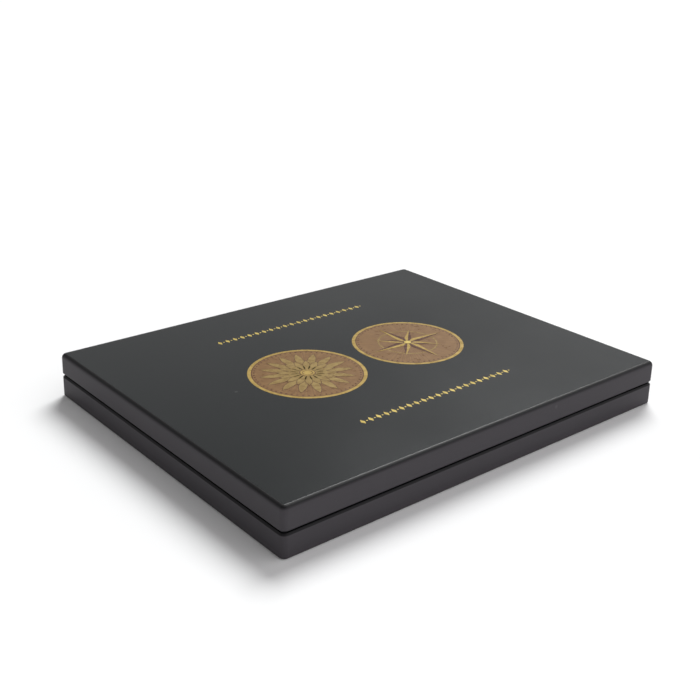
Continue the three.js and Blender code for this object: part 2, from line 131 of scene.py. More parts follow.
class Nodes:
    """A node tree while it is being built."""

    def __init__(self, tree: bpy.types.NodeTree) -> None:
        """Takes a tree in hand."""
        self.tree = tree

    def add(self, kind: str, inputs: dict[Any, Any] | None = None, **settings: Any) -> Any:
        """Adds a node, sets it up and joins its inputs.

        Args:
            kind: The node's type without the words ShaderNode.
            inputs: Input names or numbers, each with a value or with a socket to join.
            settings: Attributes of the node itself.

        Returns:
            The new node's outputs.
        """
        node = self.tree.nodes.new(f"ShaderNode{kind}")
        for key, value in settings.items():
            setattr(node, key, value)
        self.join(node, inputs or {})
        return node.outputs

    def join(self, node: bpy.types.Node, inputs: dict[Any, Any]) -> None:
        """Sets the inputs of a node that have values, and links those that have sockets."""
        for key, value in inputs.items():
            if isinstance(value, Socket):
                self.tree.links.new(value, node.inputs[key])
            else:
                node.inputs[key].default_value = value

    def math(self, operation: str, first: Any, second: Any = 0.0, **settings: Any) -> Socket:
        """Adds one step of arithmetic on numbers or sockets."""
        return self.add("Math", {0: first, 1: second}, operation=operation, **settings)[0]

    def span(
        self,
        value: Socket,
        start: float = 0.0,
        end: float = 1.0,
        low: Any = 0.0,
        high: Any = 1.0,
        **settings: Any,
    ) -> Socket:
        """Spreads a value from one range to another.

        Args:
            value: The value's socket.
            start: Where its range starts.
            end: Where its range ends.
            low: What the start becomes.
            high: What the end becomes.
            settings: Attributes of the node itself.

        Returns:
            The value over the surface, held between both ends.
        """
        inputs = {"Value": value, "From Min": start, "From Max": end, "To Min": low, "To Max": high}
        return self.add("MapRange", inputs, **settings)["Result"]


class Group(Nodes):
    """A shader node group while it is being built: its tree, its inlet and its outlet."""

    def __init__(self, name: str, inputs: dict[str, str], outputs: dict[str, str]) -> None:
        """Makes the empty group.

        Args:
            name: The group's name.
            inputs: Socket kinds by name, such as {"Scale": "Float"}, besides the Vector.
            outputs: Socket kinds by name.
        """
        super().__init__(bpy.data.node_groups.new(name, "ShaderNodeTree"))
        for in_out, sockets in (("INPUT", {"Vector": "Vector", **inputs}), ("OUTPUT", outputs)):
            for key, kind in sockets.items():
                self.tree.interface.new_socket(
                    key, in_out=in_out, socket_type=f"NodeSocket{kind}"
                )
        self.inlet = self.tree.nodes.new("NodeGroupInput").outputs
        self.outlet = self.tree.nodes.new("NodeGroupOutput").inputs

    def pattern(self, kind: str, **inputs: Any) -> Any:
        """Adds a pattern that is fed with the group's own Vector and Scale."""
        own = {"Vector": self.inlet["Vector"], "Scale": self.inlet["Scale"]}
        return self.add(kind, {**own, **inputs})

    def give(self, name: str, socket: Socket) -> None:
        """Joins a socket to one of the group's outputs."""
        self.tree.links.new(socket, self.outlet[name])


@cache
def fine_grain() -> bpy.types.NodeTree:
    """The small even roughness that sprayed, cast and fibrous surfaces share, as a height."""
    group = Group("fine_grain", {"Scale": "Float", "Detail": "Float"}, {"Height": "Float"})
    noise = group.pattern("TexNoise", Detail=group.inlet["Detail"], Roughness=0.6)
    group.give("Height", noise["Fac"])
    return group.tree


@cache
def soft_clouds() -> bpy.types.NodeTree:
    """Slow changes of shade over a surface, between two colours, with the mask behind them."""
    group = Group(
        "soft_clouds",
        {"Scale": "Float", "Dark": "Color", "Light": "Color"},
        {"Color": "Color", "Mask": "Float"},
    )
    spread = group.span(group.pattern("TexNoise", Detail=3.0)["Fac"], 0.3, 0.7)
    mixed = group.add("MixRGB", {0: spread, 1: group.inlet["Dark"], 2: group.inlet["Light"]})
    group.give("Color", mixed["Color"])
    group.give("Mask", spread)
    return group.tree


@cache
def stray_specks() -> bpy.types.NodeTree:
    """Sparse specks, for dust on a lacquer or lint on a cloth, as a mask from 0 to 1."""
    speck_radius, edge_steepness = 0.16, 9.0
    group = Group("stray_specks", {"Scale": "Float", "Threshold": "Float"}, {"Mask": "Float"})
    cells = group.pattern("TexVoronoi")
    near = group.math("SUBTRACT", speck_radius, cells["Distance"])
    spot = group.math("MULTIPLY", near, edge_steepness, use_clamp=True)
    luck = group.add("SeparateColor", {0: cells["Color"]})["Red"]
    chosen = group.math("GREATER_THAN", luck, group.inlet["Threshold"])
    group.give("Mask", group.math("MULTIPLY", spot, chosen))
    return group.tree


@cache
def drawn_lines() -> bpy.types.NodeTree:
    """Fine parallel lines of uneven strength, for threads and for brushed metal, as a height."""
    group = Group("drawn_lines", {"Stretch": "Vector"}, {"Height": "Float"})
    ends = {0: group.inlet["Vector"], 1: group.inlet["Stretch"]}
    stretched = group.add("VectorMath", ends, operation="MULTIPLY")[0]
    noise = group.add("TexNoise", {"Vector": stretched, "Scale": 1.0, "Detail": 2.0})
    group.give("Height", noise["Fac"])
    return group.tree


class NodeSheet(Nodes):
    """One material's tree, with a Principled shader joined to the output."""

    def __init__(self, name: str) -> None:
        """Makes the material of that name."""
        self.material = bpy.data.materials.new(name)
        self.material.use_nodes = True
        super().__init__(self.material.node_tree)
        self.tree.nodes.clear()
        output = self.tree.nodes.new("ShaderNodeOutputMaterial")
        self.shader = self.tree.nodes.new("ShaderNodeBsdfPrincipled")
        self.tree.links.new(self.shader.outputs[0], output.inputs["Surface"])
        self.place = self.add("TexCoord")["Object"]

    def effect(self, tree: bpy.types.NodeTree, inputs: dict[str, Any]) -> Any:
        """Places a shared effect, fed with the surface's own place.

        Args:
            tree: The effect's node group.
            inputs: Its values.

        Returns:
            The effect's outputs.
        """
        node = self.tree.nodes.new("ShaderNodeGroup")
        node.node_tree = tree
        self.join(node, {"Vector": self.place, **inputs})
        return node.outputs

    def clouds(self, scale: float, dark: Colour, light: Colour) -> Any:
        """Places soft clouds between two colours."""
        return self.effect(soft_clouds(), {"Scale": scale, "Dark": dark, "Light": light})

    def grain(self, scale: float, detail: float) -> Socket:
        """Places a fine grain and gives its height."""
        return self.effect(fine_grain(), {"Scale": scale, "Detail": detail})["Height"]

    def dusted(self, colour: Socket, specks: "Specks") -> Socket:
        """Lays stray specks over a colour."""
        values = {"Scale": specks.scale, "Threshold": specks.threshold}
        mask = self.effect(stray_specks(), values)["Mask"]
        share = self.math("MULTIPLY", mask, specks.strength)
        return self.blend(share, colour, linear(specks.colour))

    def blend(self, share: Any, first: Any, second: Any, blend_type: str = "MIX") -> Socket:
        """Mixes two colours or sockets; a share of 0 gives the first and 1 the second."""
        return self.add("MixRGB", {0: share, 1: first, 2: second}, blend_type=blend_type)["Color"]

    def raise_by(self, height: Any, depth: float, strength: float = 1.0) -> None:
        """Lets a height tilt the surface.

        Args:
            height: The socket with the height.
            depth: The height's full scale, in metres.
            strength: How much of it shows.
        """
        bump = self.add("Bump", {"Height": height, "Distance": depth, "Strength": strength})
        self.feed({"Normal": bump["Normal"]})

    def feed(self, inputs: dict[str, Any]) -> None:
        """Sets the shader's own sockets."""
        self.join(self.shader, inputs)


@dataclass(frozen=True)
class Specks:
    """How a finish is sprinkled with dust or lint."""

    scale: float
    threshold: float
    strength: float
    colour: str


@dataclass(frozen=True)
class Finish:
    """What a surface is made of. Each finish builds its material once."""

    name: str
    slot: Slot | None

    @cache
    def material(self) -> bpy.types.Material:
        """Builds the material, or gives the one that was built before."""
        sheet = NodeSheet(self.name)
        self.paint(sheet)
        return sheet.material

    def paint(self, sheet: NodeSheet) -> None:
        """Fills the sheet with the finish's nodes."""
        raise NotImplementedError


@dataclass(frozen=True)
class Lacquer(Finish):
    """Black lacquer over fibreboard, rubbed smoothest on level faces, with painted shade darkening
    its rounded edges and walls painted lighter than the top.
    """

    # Painted light: one lacquer in three tones, the top darker and the walls lighter for how light
    # falls on them, and the edge tone a painted shade on the rounds.
    top: str = "1e2122"
    wall: str = "434044"
    edge: str = "141315"
    cloud_scale: float = 9.0
    cloud_shade: float = 0.94
    dust: Specks = Specks(95.0, 0.965, 0.10, "8c8c8c")
    top_roughness: float = 0.18
    wall_roughness: float = 0.58
    unevenness: float = 0.02
    edge_range: tuple[float, float] = (0.35, 0.75)
    level_range: tuple[float, float] = (0.985, 0.998)
    peel_scale: float = 700.0
    peel_depth: float = 0.012 * MM

    def paint(self, sheet: NodeSheet) -> None:
        """Fills the sheet with near blacks that carry painted light, walls lighter than the top and
        painted shade on the edges, an orange peel too fine to see and a little dust.
        """
        upward = sheet.add("SeparateXYZ", {0: sheet.add("TexCoord")["Normal"]})["Z"]
        slope = sheet.math("ABSOLUTE", upward)
        level = sheet.span(slope, *self.level_range)
        # Painted shade on the rounded edges and painted lighter walls, chosen by how steeply each
        # face slopes.
        edge = sheet.span(slope, *self.edge_range)
        painted_light_tone = sheet.blend(edge, linear(self.wall), linear(self.edge))
        painted_light_tone = sheet.blend(level, painted_light_tone, linear(self.top))
        shade = self.cloud_shade
        clouds = sheet.clouds(self.cloud_scale, (shade, shade, shade, 1), (1, 1, 1, 1))
        shaded = sheet.blend(1.0, painted_light_tone, clouds["Color"], "MULTIPLY")
        sheet.raise_by(sheet.grain(self.peel_scale, 2.0), self.peel_depth)
        rubbed = sheet.span(level, low=self.wall_roughness, high=self.top_roughness)
        uneven = sheet.span(clouds["Mask"], low=-self.unevenness, high=self.unevenness)
        sheet.feed(
            {
                "Base Color": sheet.dusted(shaded, self.dust),
                "Roughness": sheet.math("ADD", rubbed, uneven),
                "Specular IOR Level": 0.2,
            }
        )


@dataclass(frozen=True)
class Velvet(Finish):
    """Short black pile, brushed a little this way and that."""

    dark: str = "08080a"
    light: str = "111114"
    tip: str = "1a1a1e"
    brushed_scale: float = 55.0
    lint: Specks = Specks(60.0, 0.985, 0.06, "7d7d80")
    pile_scale: float = 1900.0
    pile_depth: float = 0.12 * MM

    def paint(self, sheet: NodeSheet) -> None:
        """Fills the sheet with brushed patches, a fine pile and a grazing sheen."""
        brushed = sheet.clouds(self.brushed_scale, linear(self.dark), linear(self.light))
        pile = sheet.grain(self.pile_scale, 3.0)
        tipped = sheet.blend(sheet.span(pile, high=0.35), brushed["Color"], linear(self.tip))
        sheet.raise_by(pile, self.pile_depth, 0.7)
        sheet.feed(
            {
                "Base Color": sheet.dusted(tipped, self.lint),
                "Roughness": sheet.span(brushed["Mask"], low=0.85),
                "Specular IOR Level": 0.2,
                "Sheen Weight": 0.35,
                "Sheen Roughness": 0.35,
                "Sheen Tint": linear("8f8f98"),
            }
        )


@dataclass(frozen=True)
class Satin(Finish):
    """Black satin: smooth floats of thread that shine along the width of the lid."""

    dark: str = "0d0d10"
    light: str = "17171b"
    cloud_scale: float = 30.0
    stretch: tuple[float, float, float] = (260.0, 5200.0, 260.0)
    thread_depth: float = 0.05 * MM

    def paint(self, sheet: NodeSheet) -> None:
        """Fills the sheet with fine threads and a soft directed gloss."""
        shade = sheet.clouds(self.cloud_scale, linear(self.dark), linear(self.light))
        threads = sheet.effect(drawn_lines(), {"Stretch": self.stretch})["Height"]
        sheet.raise_by(threads, self.thread_depth, 0.6)
        sheet.feed(
            {
                "Base Color": shade["Color"],
                "Roughness": sheet.span(threads, low=0.30, high=0.44),
                "Anisotropic": 0.45,
                "Sheen Weight": 0.25,
                "Sheen Roughness": 0.3,
                "Sheen Tint": linear("9a9aa4"),
            }
        )


@dataclass(frozen=True)
class Fibrous(Finish):
    """A dull fibrous stuff such as felt, foam, card or fibreboard."""

    dark: str = "101011"
    light: str = "19191b"
    cloud_scale: float = 80.0
    fibre_scale: float = 1400.0
    fibre_depth: float = 0.15 * MM

    def paint(self, sheet: NodeSheet) -> None:
        """Fills the sheet with mottled shades and tangled fibres."""
        mottled = sheet.clouds(self.cloud_scale, linear(self.dark), linear(self.light))
        fibres = sheet.grain(self.fibre_scale, 4.0)
        lifted = sheet.span(fibres, high=0.5)
        sheet.raise_by(fibres, self.fibre_depth, 0.8)
        sheet.feed(
            {
                "Base Color": sheet.blend(lifted, mottled["Color"], linear(self.light)),
                "Roughness": sheet.span(mottled["Mask"], low=0.85),
                "Specular IOR Level": 0.25,
            }
        )


@dataclass(frozen=True)
class Plated(Finish):
    """Nickel plate over steel, lightly brushed."""

    colour: str = "c9c4b8"
    tarnish: str = "b0a999"
    tarnish_scale: float = 160.0
    roughness: tuple[float, float] = (0.16, 0.30)
    stretch: tuple[float, float, float] = (120.0, 3800.0, 3800.0)
    line_depth: float = 0.01 * MM

    def paint(self, sheet: NodeSheet) -> None:
        """Fills the sheet with brushed metal and a breath of tarnish."""
        lines = sheet.effect(drawn_lines(), {"Stretch": self.stretch})["Height"]
        breath = sheet.clouds(self.tarnish_scale, linear(self.tarnish), linear(self.colour))
        sheet.raise_by(lines, self.line_depth, 0.5)
        roughness = sheet.span(lines, low=self.roughness[0], high=self.roughness[1])
        sheet.feed({"Base Color": breath["Color"], "Metallic": 1.0, "Roughness": roughness})


@dataclass(frozen=True)
class Foil(Finish):
    """Hot-stamped ink with a dull metallic grain."""

    colour: str = "b1964f"
    shade: str = "a08443"
    metallic: float = 0.15
    roughness: tuple[float, float] = (0.24, 0.32)
    cloud_scale: float = 240.0
    grain_scale: float = 1600.0
    grain_depth: float = 0.01 * MM

    def tint(self, sheet: NodeSheet, ink: Socket) -> Socket:
        """Gives the ink's colour; a patterned ink lays its pattern over it here."""
        return ink

    def paint(self, sheet: NodeSheet) -> None:
        """Fills the sheet with slightly uneven ink."""
        ink = sheet.clouds(self.cloud_scale, linear(self.shade), linear(self.colour))
        sheet.raise_by(sheet.grain(self.grain_scale, 2.0), self.grain_depth, 0.5)
        low, high = self.roughness
        sheet.feed(
            {
                "Base Color": self.tint(sheet, ink["Color"]),
                "Metallic": self.metallic,
                "Roughness": sheet.span(ink["Mask"], low=low, high=high),
                "Specular IOR Level": 0.1,
            }
        )


@dataclass(frozen=True)
class RayedFoil(Foil):
    """Bronze ink scored with fine rays about a centre."""

    colour: str = "88673d"
    shade: str = "7a5a35"
    metallic: float = 0.1
    roughness: tuple[float, float] = (0.26, 0.34)
    cloud_scale: float = 200.0
    centre: tuple[float, float] = (0.0, 0.0)
    ray: str = "65442b"
    ray_count: float = 34.0
    ray_range: tuple[float, float] = (0.44, 0.64)
    fade_from: float = 8 * MM
    fade_to: float = 36 * MM
    fade_share: float = 0.35

    def tint(self, sheet: NodeSheet, ink: Socket) -> Socket:
        """Scores the ink with rays that are darkest near the middle."""
        shift = (-self.centre[0], -self.centre[1], 0)
        moved = sheet.add("Mapping", {"Vector": sheet.place, "Location": shift})["Vector"]
        part = sheet.add("SeparateXYZ", {0: moved})
        turns = sheet.math("MULTIPLY", sheet.math("ARCTAN2", part["Y"], part["X"]), self.ray_count)
        values = {"W": turns, "Scale": 1.0, "Detail": 2.0}
        rays = sheet.add("TexNoise", values, noise_dimensions="1D")["Fac"]
        flat = sheet.add("CombineXYZ", {"X": part["X"], "Y": part["Y"]})[0]
        reach = sheet.add("VectorMath", {0: flat}, operation="LENGTH")["Value"]
        fading = sheet.span(reach, self.fade_from, self.fade_to, 1.0, self.fade_share)
        share = sheet.math("MULTIPLY", sheet.span(rays, *self.ray_range), fading)
        return sheet.blend(share, ink, linear(self.ray))


LACQUER = Lacquer("black_lacquer", Slot.LACQUER)
VELVET = Velvet("black_velvet", Slot.VELVET)
SATIN = Satin("black_satin", Slot.SATIN)
FELT = Fibrous("black_felt", Slot.FELT)
FOAM = Fibrous("dark_foam", Slot.FOAM, dark="222224", light="2f2f32", fibre_scale=700.0)
CARD = Fibrous("black_card", Slot.CARD, dark="131314", light="1c1c1e", fibre_depth=0.03 * MM)
FIBREBOARD = Fibrous(
    "fibreboard",
    Slot.FIBREBOARD,
    dark="5c452c",
    light="7a5f3f",
    fibre_scale=900.0,
    fibre_depth=0.05 * MM,
)
NICKEL = Plated("nickel_plate", Slot.NICKEL)
MAGNET = Plated(
    "magnet_plate",
    Slot.MAGNET,
    colour="d2d0cb",
    roughness=(0.12, 0.2),
    stretch=(900.0, 900.0, 900.0),
)
GILT = Foil("gilt_ink", None)
PALE_GILT = Foil("pale_gilt_ink", None, colour="d0b964", shade="bfa757")
MOTIF_GILT = Foil("motif_ink", None, colour="99814b", shade="876e3f")
UMBER = Foil("umber_ink", None, colour="5b3828", shade="4f2f22", metallic=0.05)


# ---------------------------------------------------------------- the bench


def clear_selection() -> None:
    """Leaves nothing selected, so that the next operator acts only on what is picked."""
    if bpy.context.object and bpy.context.object.mode != "OBJECT":
        bpy.ops.object.mode_set(mode="OBJECT")
    bpy.ops.object.select_all(action="DESELECT")


def at_level(height: float) -> EdgeTest:
    """A test for edges that lie level at one height."""
    return lambda edge: all(abs(v.co.z - height) < TOUCH for v in edge.verts)


def upright() -> EdgeTest:
    """A test for edges that stand upright."""
    return lambda edge: (edge.verts[0].co.xy - edge.verts[1].co.xy).length < TOUCH


def around_x() -> EdgeTest:
    """A test for edges that keep to one place along X."""
    return lambda edge: abs(edge.verts[0].co.x - edge.verts[1].co.x) < TOUCH


def facing(direction: tuple[float, float, float], height: float) -> FaceTest:
    """A test for faces that look in a direction with their middle at one height."""
    way = Vector(direction)
    return lambda face: (
        face.normal.dot(way) > 0.99 and abs(face.calc_center_median().z - height) < TOUCH
    )


def quarter_round(radius: float, steps: int) -> list[tuple[float, float]]:
    """Points on a quarter circle from (0, radius) to (radius, 0), as pairs of along and up."""
    angles = [math.pi / 2 * step / steps for step in range(steps + 1)]
    return [(radius * math.sin(a), radius * math.cos(a)) for a in angles]


@dataclass(frozen=True)
class Place:
    """The box that a node of the frame fills, in metres."""

    low: Vector
    high: Vector

    @classmethod
    def of(cls, node: str) -> "Place":
        """The place of one node of the frame."""
        return cls(*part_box(node))

    @property
    def centre(self) -> Vector:
        """The middle of the box."""
        return (self.low + self.high) / 2


class Piece:
    """One mesh at the bench: a primitive, shaped by edit-mode steps and applied modifiers."""

    def __init__(self, item: bpy.types.Object, name: str) -> None:
        """Takes a mesh object in hand and names it."""
        self.item = item
        self.item.name = name
        self.item.data.name = name

    @classmethod
    def block(cls, name: str, low: Vector, high: Vector) -> "Piece":
        """Starts from a cube stretched between its lowest and its highest corner."""
        clear_selection()
        bpy.ops.mesh.primitive_cube_add(size=1, location=(low + high) / 2)
        bpy.context.object.scale = high - low
        return cls(bpy.context.object, name).settled()

    @classmethod
    def slab(cls, name: str, *ranges: Sequence[float]) -> "Piece":
        """Starts from a cube stretched over ranges of X, Y and Z, each either way round."""
        low, high = (Vector(ends) for ends in zip(*(sorted(span) for span in ranges)))
        return cls.block(name, low, high)

    @classmethod
    def disc(cls, name: str, radius: float, height: float, sides: int = ROUND_SIDES) -> "Piece":
        """Starts from a filled circle about the origin, which lies at a height."""
        clear_selection()
        bpy.ops.mesh.primitive_circle_add(
            vertices=sides, radius=radius, fill_type="NGON", location=(0, 0, height)
        )
        return cls(bpy.context.object, name).settled()

    @classmethod
    def turned(cls, name: str, profile: Profile, sides: int = ROD_SIDES) -> "Piece":
        """Draws a circle out along Z through a profile, as on a lathe.

        Args:
            name: The piece's name.
            profile: Pairs of radius and height, from one flat end to the other.
            sides: How many sides it has.

        Returns:
            The piece, closed at both ends.
        """
        piece = cls.disc(name, profile[0][0], profile[0][1], sides)
        with piece.editing("FACE", whole=True):
            for (radius, height), (next_radius, next_height) in pairwise(profile):
                bpy.ops.mesh.extrude_region_move(
                    TRANSFORM_OT_translate={"value": (0, 0, next_height - height)}
                )
                share = next_radius / radius
                bpy.ops.transform.resize(value=(share, share, 1), center_override=(0, 0, 0))
        return piece.facing_out()

    @contextmanager
    def editing(self, kind: str = "EDGE", whole: bool = False) -> Iterator[None]:
        """Opens the piece in edit mode.

        Args:
            kind: What is selected there: VERT, EDGE or FACE.
            whole: Whether all of the piece starts selected, or nothing.

        Yields:
            Nothing; the piece is closed again afterwards.
        """
        self.hold()
        bpy.ops.object.mode_set(mode="EDIT")
        bpy.ops.mesh.select_mode(type=kind)
        bpy.ops.mesh.select_all(action="SELECT" if whole else "DESELECT")
        yield
        bpy.ops.object.mode_set(mode="OBJECT")

    def hold(self) -> None:
        """Makes this piece the only selected one."""
        clear_selection()
        self.item.select_set(True)
        bpy.context.view_layer.objects.active = self.item

    def settled(self) -> "Piece":
        """Puts the object's place, turn and size into its mesh."""
        self.hold()
        bpy.ops.object.transform_apply(location=True, rotation=True, scale=True)
        return self

    def placed(self, where: Sequence[float], turn: Sequence[float] = (0, 0, 0)) -> "Piece":
        """Turns the piece about the origin and moves it."""
        self.item.rotation_euler = turn
        self.item.location = where
        return self.settled()

    def scaled(self, size: Sequence[float], where: Sequence[float] = (0, 0, 0)) -> "Piece":
        """Stretches the piece about the origin and moves it."""
        self.item.scale = size
        self.item.location = where
        return self.settled()

    def facing_out(self) -> "Piece":
        """Turns every face outwards."""
        with self.editing("FACE", whole=True):
            bpy.ops.mesh.normals_make_consistent(inside=False)
        return self

    def pick(self, kind: str, test: Callable[[Any], bool]) -> None:
        """Selects the verts, edges or faces that pass a test, in edit mode."""
        mesh = bmesh.from_edit_mesh(self.item.data)
        for element in getattr(mesh, kind):
            element.select_set(test(element))
        bmesh.update_edit_mesh(self.item.data)

    def thickened(self, height: float) -> "Piece":
        """Turns a flat piece into a film of some thickness."""
        with self.editing("FACE", whole=True):
            bpy.ops.mesh.extrude_region_move(TRANSFORM_OT_translate={"value": (0, 0, height)})
        return self.facing_out()

    def hollowed(self, width: float) -> "Piece":
        """Leaves only a band of some width along the outline of a flat piece."""
        with self.editing("FACE", whole=True):
            bpy.ops.mesh.inset(thickness=width, use_even_offset=True)
            bpy.ops.mesh.delete(type="FACE")
        return self

    def rounded(self, test: EdgeTest, radius: float, segments: int) -> "Piece":
        """Rounds the edges that pass a test.

        Args:
            test: Which edges.
            radius: The round's radius.
            segments: How many strips it has.

        Returns:
            The piece.
        """
        with self.editing("EDGE"):
            self.pick("edges", test)
            bpy.ops.mesh.bevel(
                offset=radius,
                offset_type="OFFSET",
                segments=segments,
                affect="EDGES",
                clamp_overlap=True,
            )
        return self

    def stepped(self, test: FaceTest, inset: float, rise: float) -> "Piece":
        """Insets the faces that pass a test and lifts them off the surface.

        Args:
            test: Which faces.
            inset: How far their outline goes in.
            rise: How far they come out.

        Returns:
            The piece.
        """
        with self.editing("FACE"):
            self.pick("faces", test)
            bpy.ops.mesh.inset(thickness=inset, depth=rise, use_even_offset=True)
        return self

    def apply(self, kind: str, **settings: Any) -> "Piece":
        """Adds a modifier and applies it.

        Args:
            kind: The modifier's type.
            settings: Its settings.

        Returns:
            The piece.
        """
        self.hold()
        modifier = self.item.modifiers.new(kind.lower(), kind)
        for key, value in settings.items():
            setattr(modifier, key, value)
        bpy.ops.object.modifier_apply(modifier=modifier.name)
        return self

    def repeated(self, count: int, step: tuple[float, float, float]) -> "Piece":
        """Repeats the piece along a line, so that there are count of it."""
        return self.apply(
            "ARRAY",
            count=count,
            use_relative_offset=False,
            use_constant_offset=True,
            constant_offset_displace=step,
        )

    def joined(self, other: "Piece", operation: str = "DIFFERENCE") -> "Piece":
        """Cuts another piece out of this one, or joins it by a UNION, and uses it up."""
        self.apply("BOOLEAN", operation=operation, object=other.item, solver="EXACT")
        other.removed()
        return self

    def removed(self) -> None:
        """Takes the piece off the bench."""
        mesh = self.item.data
        bpy.data.objects.remove(self.item)
        bpy.data.meshes.remove(mesh)

    def copied(
        self, name: str, shift: Sequence[float], turn: Sequence[float] = (0, 0, 0)
    ) -> "Piece":
        """Makes a second piece with a mesh of its own, turned about the origin and shifted."""
        self.hold()
        bpy.ops.object.duplicate(linked=False)
        return Piece(bpy.context.object, name).placed(shift, turn)

    def smooth(self, degrees: float = PLAIN_CREASE) -> "Piece":
        """Shades the rounds smoothly; edges sharper than some degrees stay sharp."""
        self.hold()
        bpy.ops.object.shade_smooth_by_angle(angle=math.radians(degrees))
        return self.apply("WEIGHTED_NORMAL", keep_sharp=True, weight=60)

    def dressed(self, finish: Finish, body: Body, *nodes: str) -> "Piece":
        """Gives the piece its finish, its body and the nodes that it stands for.

        Args:
            finish: Its finish.
            body: The body that it rides on.
            nodes: The nodes of the frame that it replaces.

        Returns:
            The piece.
        """
        self.item.data.materials.clear()
        self.item.data.materials.append(finish.material())
        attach(self.item, body.value)
        if nodes:
            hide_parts(*nodes)
        LOG.info("%s: %d faces", self.item.name, len(self.item.data.polygons))
        return self


# ---------------------------------------------------------------- the case


@dataclass(frozen=True)
class LeafSizes:
    """The sizes of a hinge's leaves that its mortises and pockets follow."""

    reach: float = 6.2 * MM
    thickness: float = 0.8 * MM
    knuckle_radius: float = 1.3 * MM
    gap: float = 0.3 * MM


@dataclass
class Hardware:
    """Where the hinges and magnets sit in both rims, and the room that they need."""

    hinge: Place
    magnet: Place
    leaf: LeafSizes = LeafSizes()
    pocket_overhang: float = 1.2 * MM
    overrun: float = 5 * MM

    @classmethod
    def on(cls, side: Side) -> "Hardware":
        """The hardware of one end of the case."""
        return cls(Place.of(f"hinge_{side.word}_base_leaf"), Place.of(f"base_magnet_{side.word}"))

    def cutters(self, rim: float, inward: int) -> list[Piece]:
        """Makes the shapes that are cut out of a rim.

        Args:
            rim: The rim's height.
            inward: 1 where the wood is above the rim, -1 where it is below.

        Returns:
            The mortise, the knuckle pocket and the magnet pocket.
        """
        gap = self.leaf.gap
        mortise = Piece.slab(
            "mortise",
            (self.hinge.low.x - gap, self.hinge.high.x + gap),
            (HINGE_AXIS.y - self.leaf.reach - gap, HINGE_AXIS.y),
            (rim - inward * self.overrun, rim + inward * (self.leaf.thickness + gap)),
        )
        reach = (self.hinge.high.x - self.hinge.low.x) / 2 + self.pocket_overhang
        radius = self.leaf.knuckle_radius + gap
        pocket = Piece.turned("pocket", [(radius, -reach), (radius, reach)]).placed(
            (self.hinge.centre.x, HINGE_AXIS.y, HINGE_AXIS.z), (0, math.pi / 2, 0)
        )
        magnet_radius = (self.magnet.high.x - self.magnet.low.x) / 2 + gap
        depth = self.magnet.high.z - self.magnet.low.z + gap
        well_ends = sorted((-inward * self.overrun, inward * depth))
        well = Piece.turned("well", [(magnet_radius, end) for end in well_ends]).placed(
            (self.magnet.centre.x, self.magnet.centre.y, rim)
        )
        return [mortise, pocket, well]


@dataclass(frozen=True)
class RimProfile:
    """How a wall ends at the parting line: a bevel, then a flat that is set back to the rim."""

    bevel_depth: float = 1.0 * MM
    gap_depth: float = 2.4 * MM
    bevel_start: float = 1.4955 * MM
    half_gap: float = 0.45 * MM
    arris: float = 0.14 * MM

    def wall_end(self, inward: int) -> float:
        """The height where the outer face of a wall ends.

        Args:
            inward: 1 for the lid, -1 for the base.

        Returns:
            The height.
        """
        return HINGE_AXIS.z + inward * self.bevel_start

    def shape(self, piece: Piece, rim: float, inward: int) -> None:
        """Steps the flat end of a block in to its rim.

        Args:
            piece: The block, which ends where the outer face of its wall does.
            rim: The height of its rim.
            inward: 1 for the lid, -1 for the base.
        """
        end, flat = self.wall_end(inward), HINGE_AXIS.z + inward * self.half_gap
        way = (0, 0, -inward)
        piece.stepped(facing(way, end), self.bevel_depth, abs(end - flat))
        piece.rounded(lambda e: at_level(end)(e) or at_level(flat)(e), self.arris, ARRIS_STEPS)
        with piece.editing("FACE"):
            piece.pick("faces", facing(way, flat))
            back = self.gap_depth - self.bevel_depth - self.arris
            bpy.ops.mesh.inset(thickness=back, depth=0, use_even_offset=True)
            bpy.ops.mesh.extrude_region_move(TRANSFORM_OT_translate={"value": (0, 0, rim - flat)})


@dataclass
class LidShell:
    """The lid's top and walls: one lacquered shell with soft outer edges and a bevelled rim."""

    place: Place
    profile: RimProfile = RimProfile()
    wall: float = 9 * MM
    ceiling: float = 4 * MM
    corner_radius: float = 3.6 * MM
    edge_radius: float = 3 * MM
    edge_steps: int = 10
    inner_arris: float = 0.3 * MM

    def build(self) -> Piece:
        """Models the shell and dresses it.

        Returns:
            The shell.
        """
        rim, top = self.place.low.z, self.place.high.z
        start = Vector((self.place.low.x, self.place.low.y, self.profile.wall_end(1)))
        shell = Piece.block("lid_lacquered_shell", start, self.place.high)
        shell.rounded(upright(), self.corner_radius, CORNER_STEPS)
        shell.rounded(at_level(top), self.edge_radius, self.edge_steps)
        self.profile.shape(shell, rim, 1)
        room = Vector((self.wall, self.wall, 0))
        below, above = Vector((0, 0, self.wall)), Vector((0, 0, self.ceiling))
        low, high = self.place.low + room - below, self.place.high - room - above
        cavity = Piece.block("lid_cavity", low, high)
        shell.joined(cavity)
        shell.rounded(rim_edges(self.place, self.wall, rim), self.inner_arris, ARRIS_STEPS)
        for side in Side:
            for cutter in Hardware.on(side).cutters(rim, 1):
                shell.joined(cutter)
        return shell.smooth().dressed(LACQUER, Body.LID, "lid_shell")


def rim_edges(place: Place, wall: float, rim: float) -> EdgeTest:
    """A test for the inner edges of a rim.

    Args:
        place: The half that the rim belongs to.
        wall: The thickness of its walls.
        rim: The rim's height.

    Returns:
        The test.
    """
    inner_x, inner_y = place.high.x - wall, place.high.y - wall

    def test(edge: bmesh.types.BMEdge) -> bool:
        on_x = all(abs(abs(v.co.x) - inner_x) < TOUCH for v in edge.verts)
        on_y = all(abs(abs(v.co.y) - inner_y) < TOUCH for v in edge.verts)
        return at_level(rim)(edge) and (on_x or on_y)

    return test


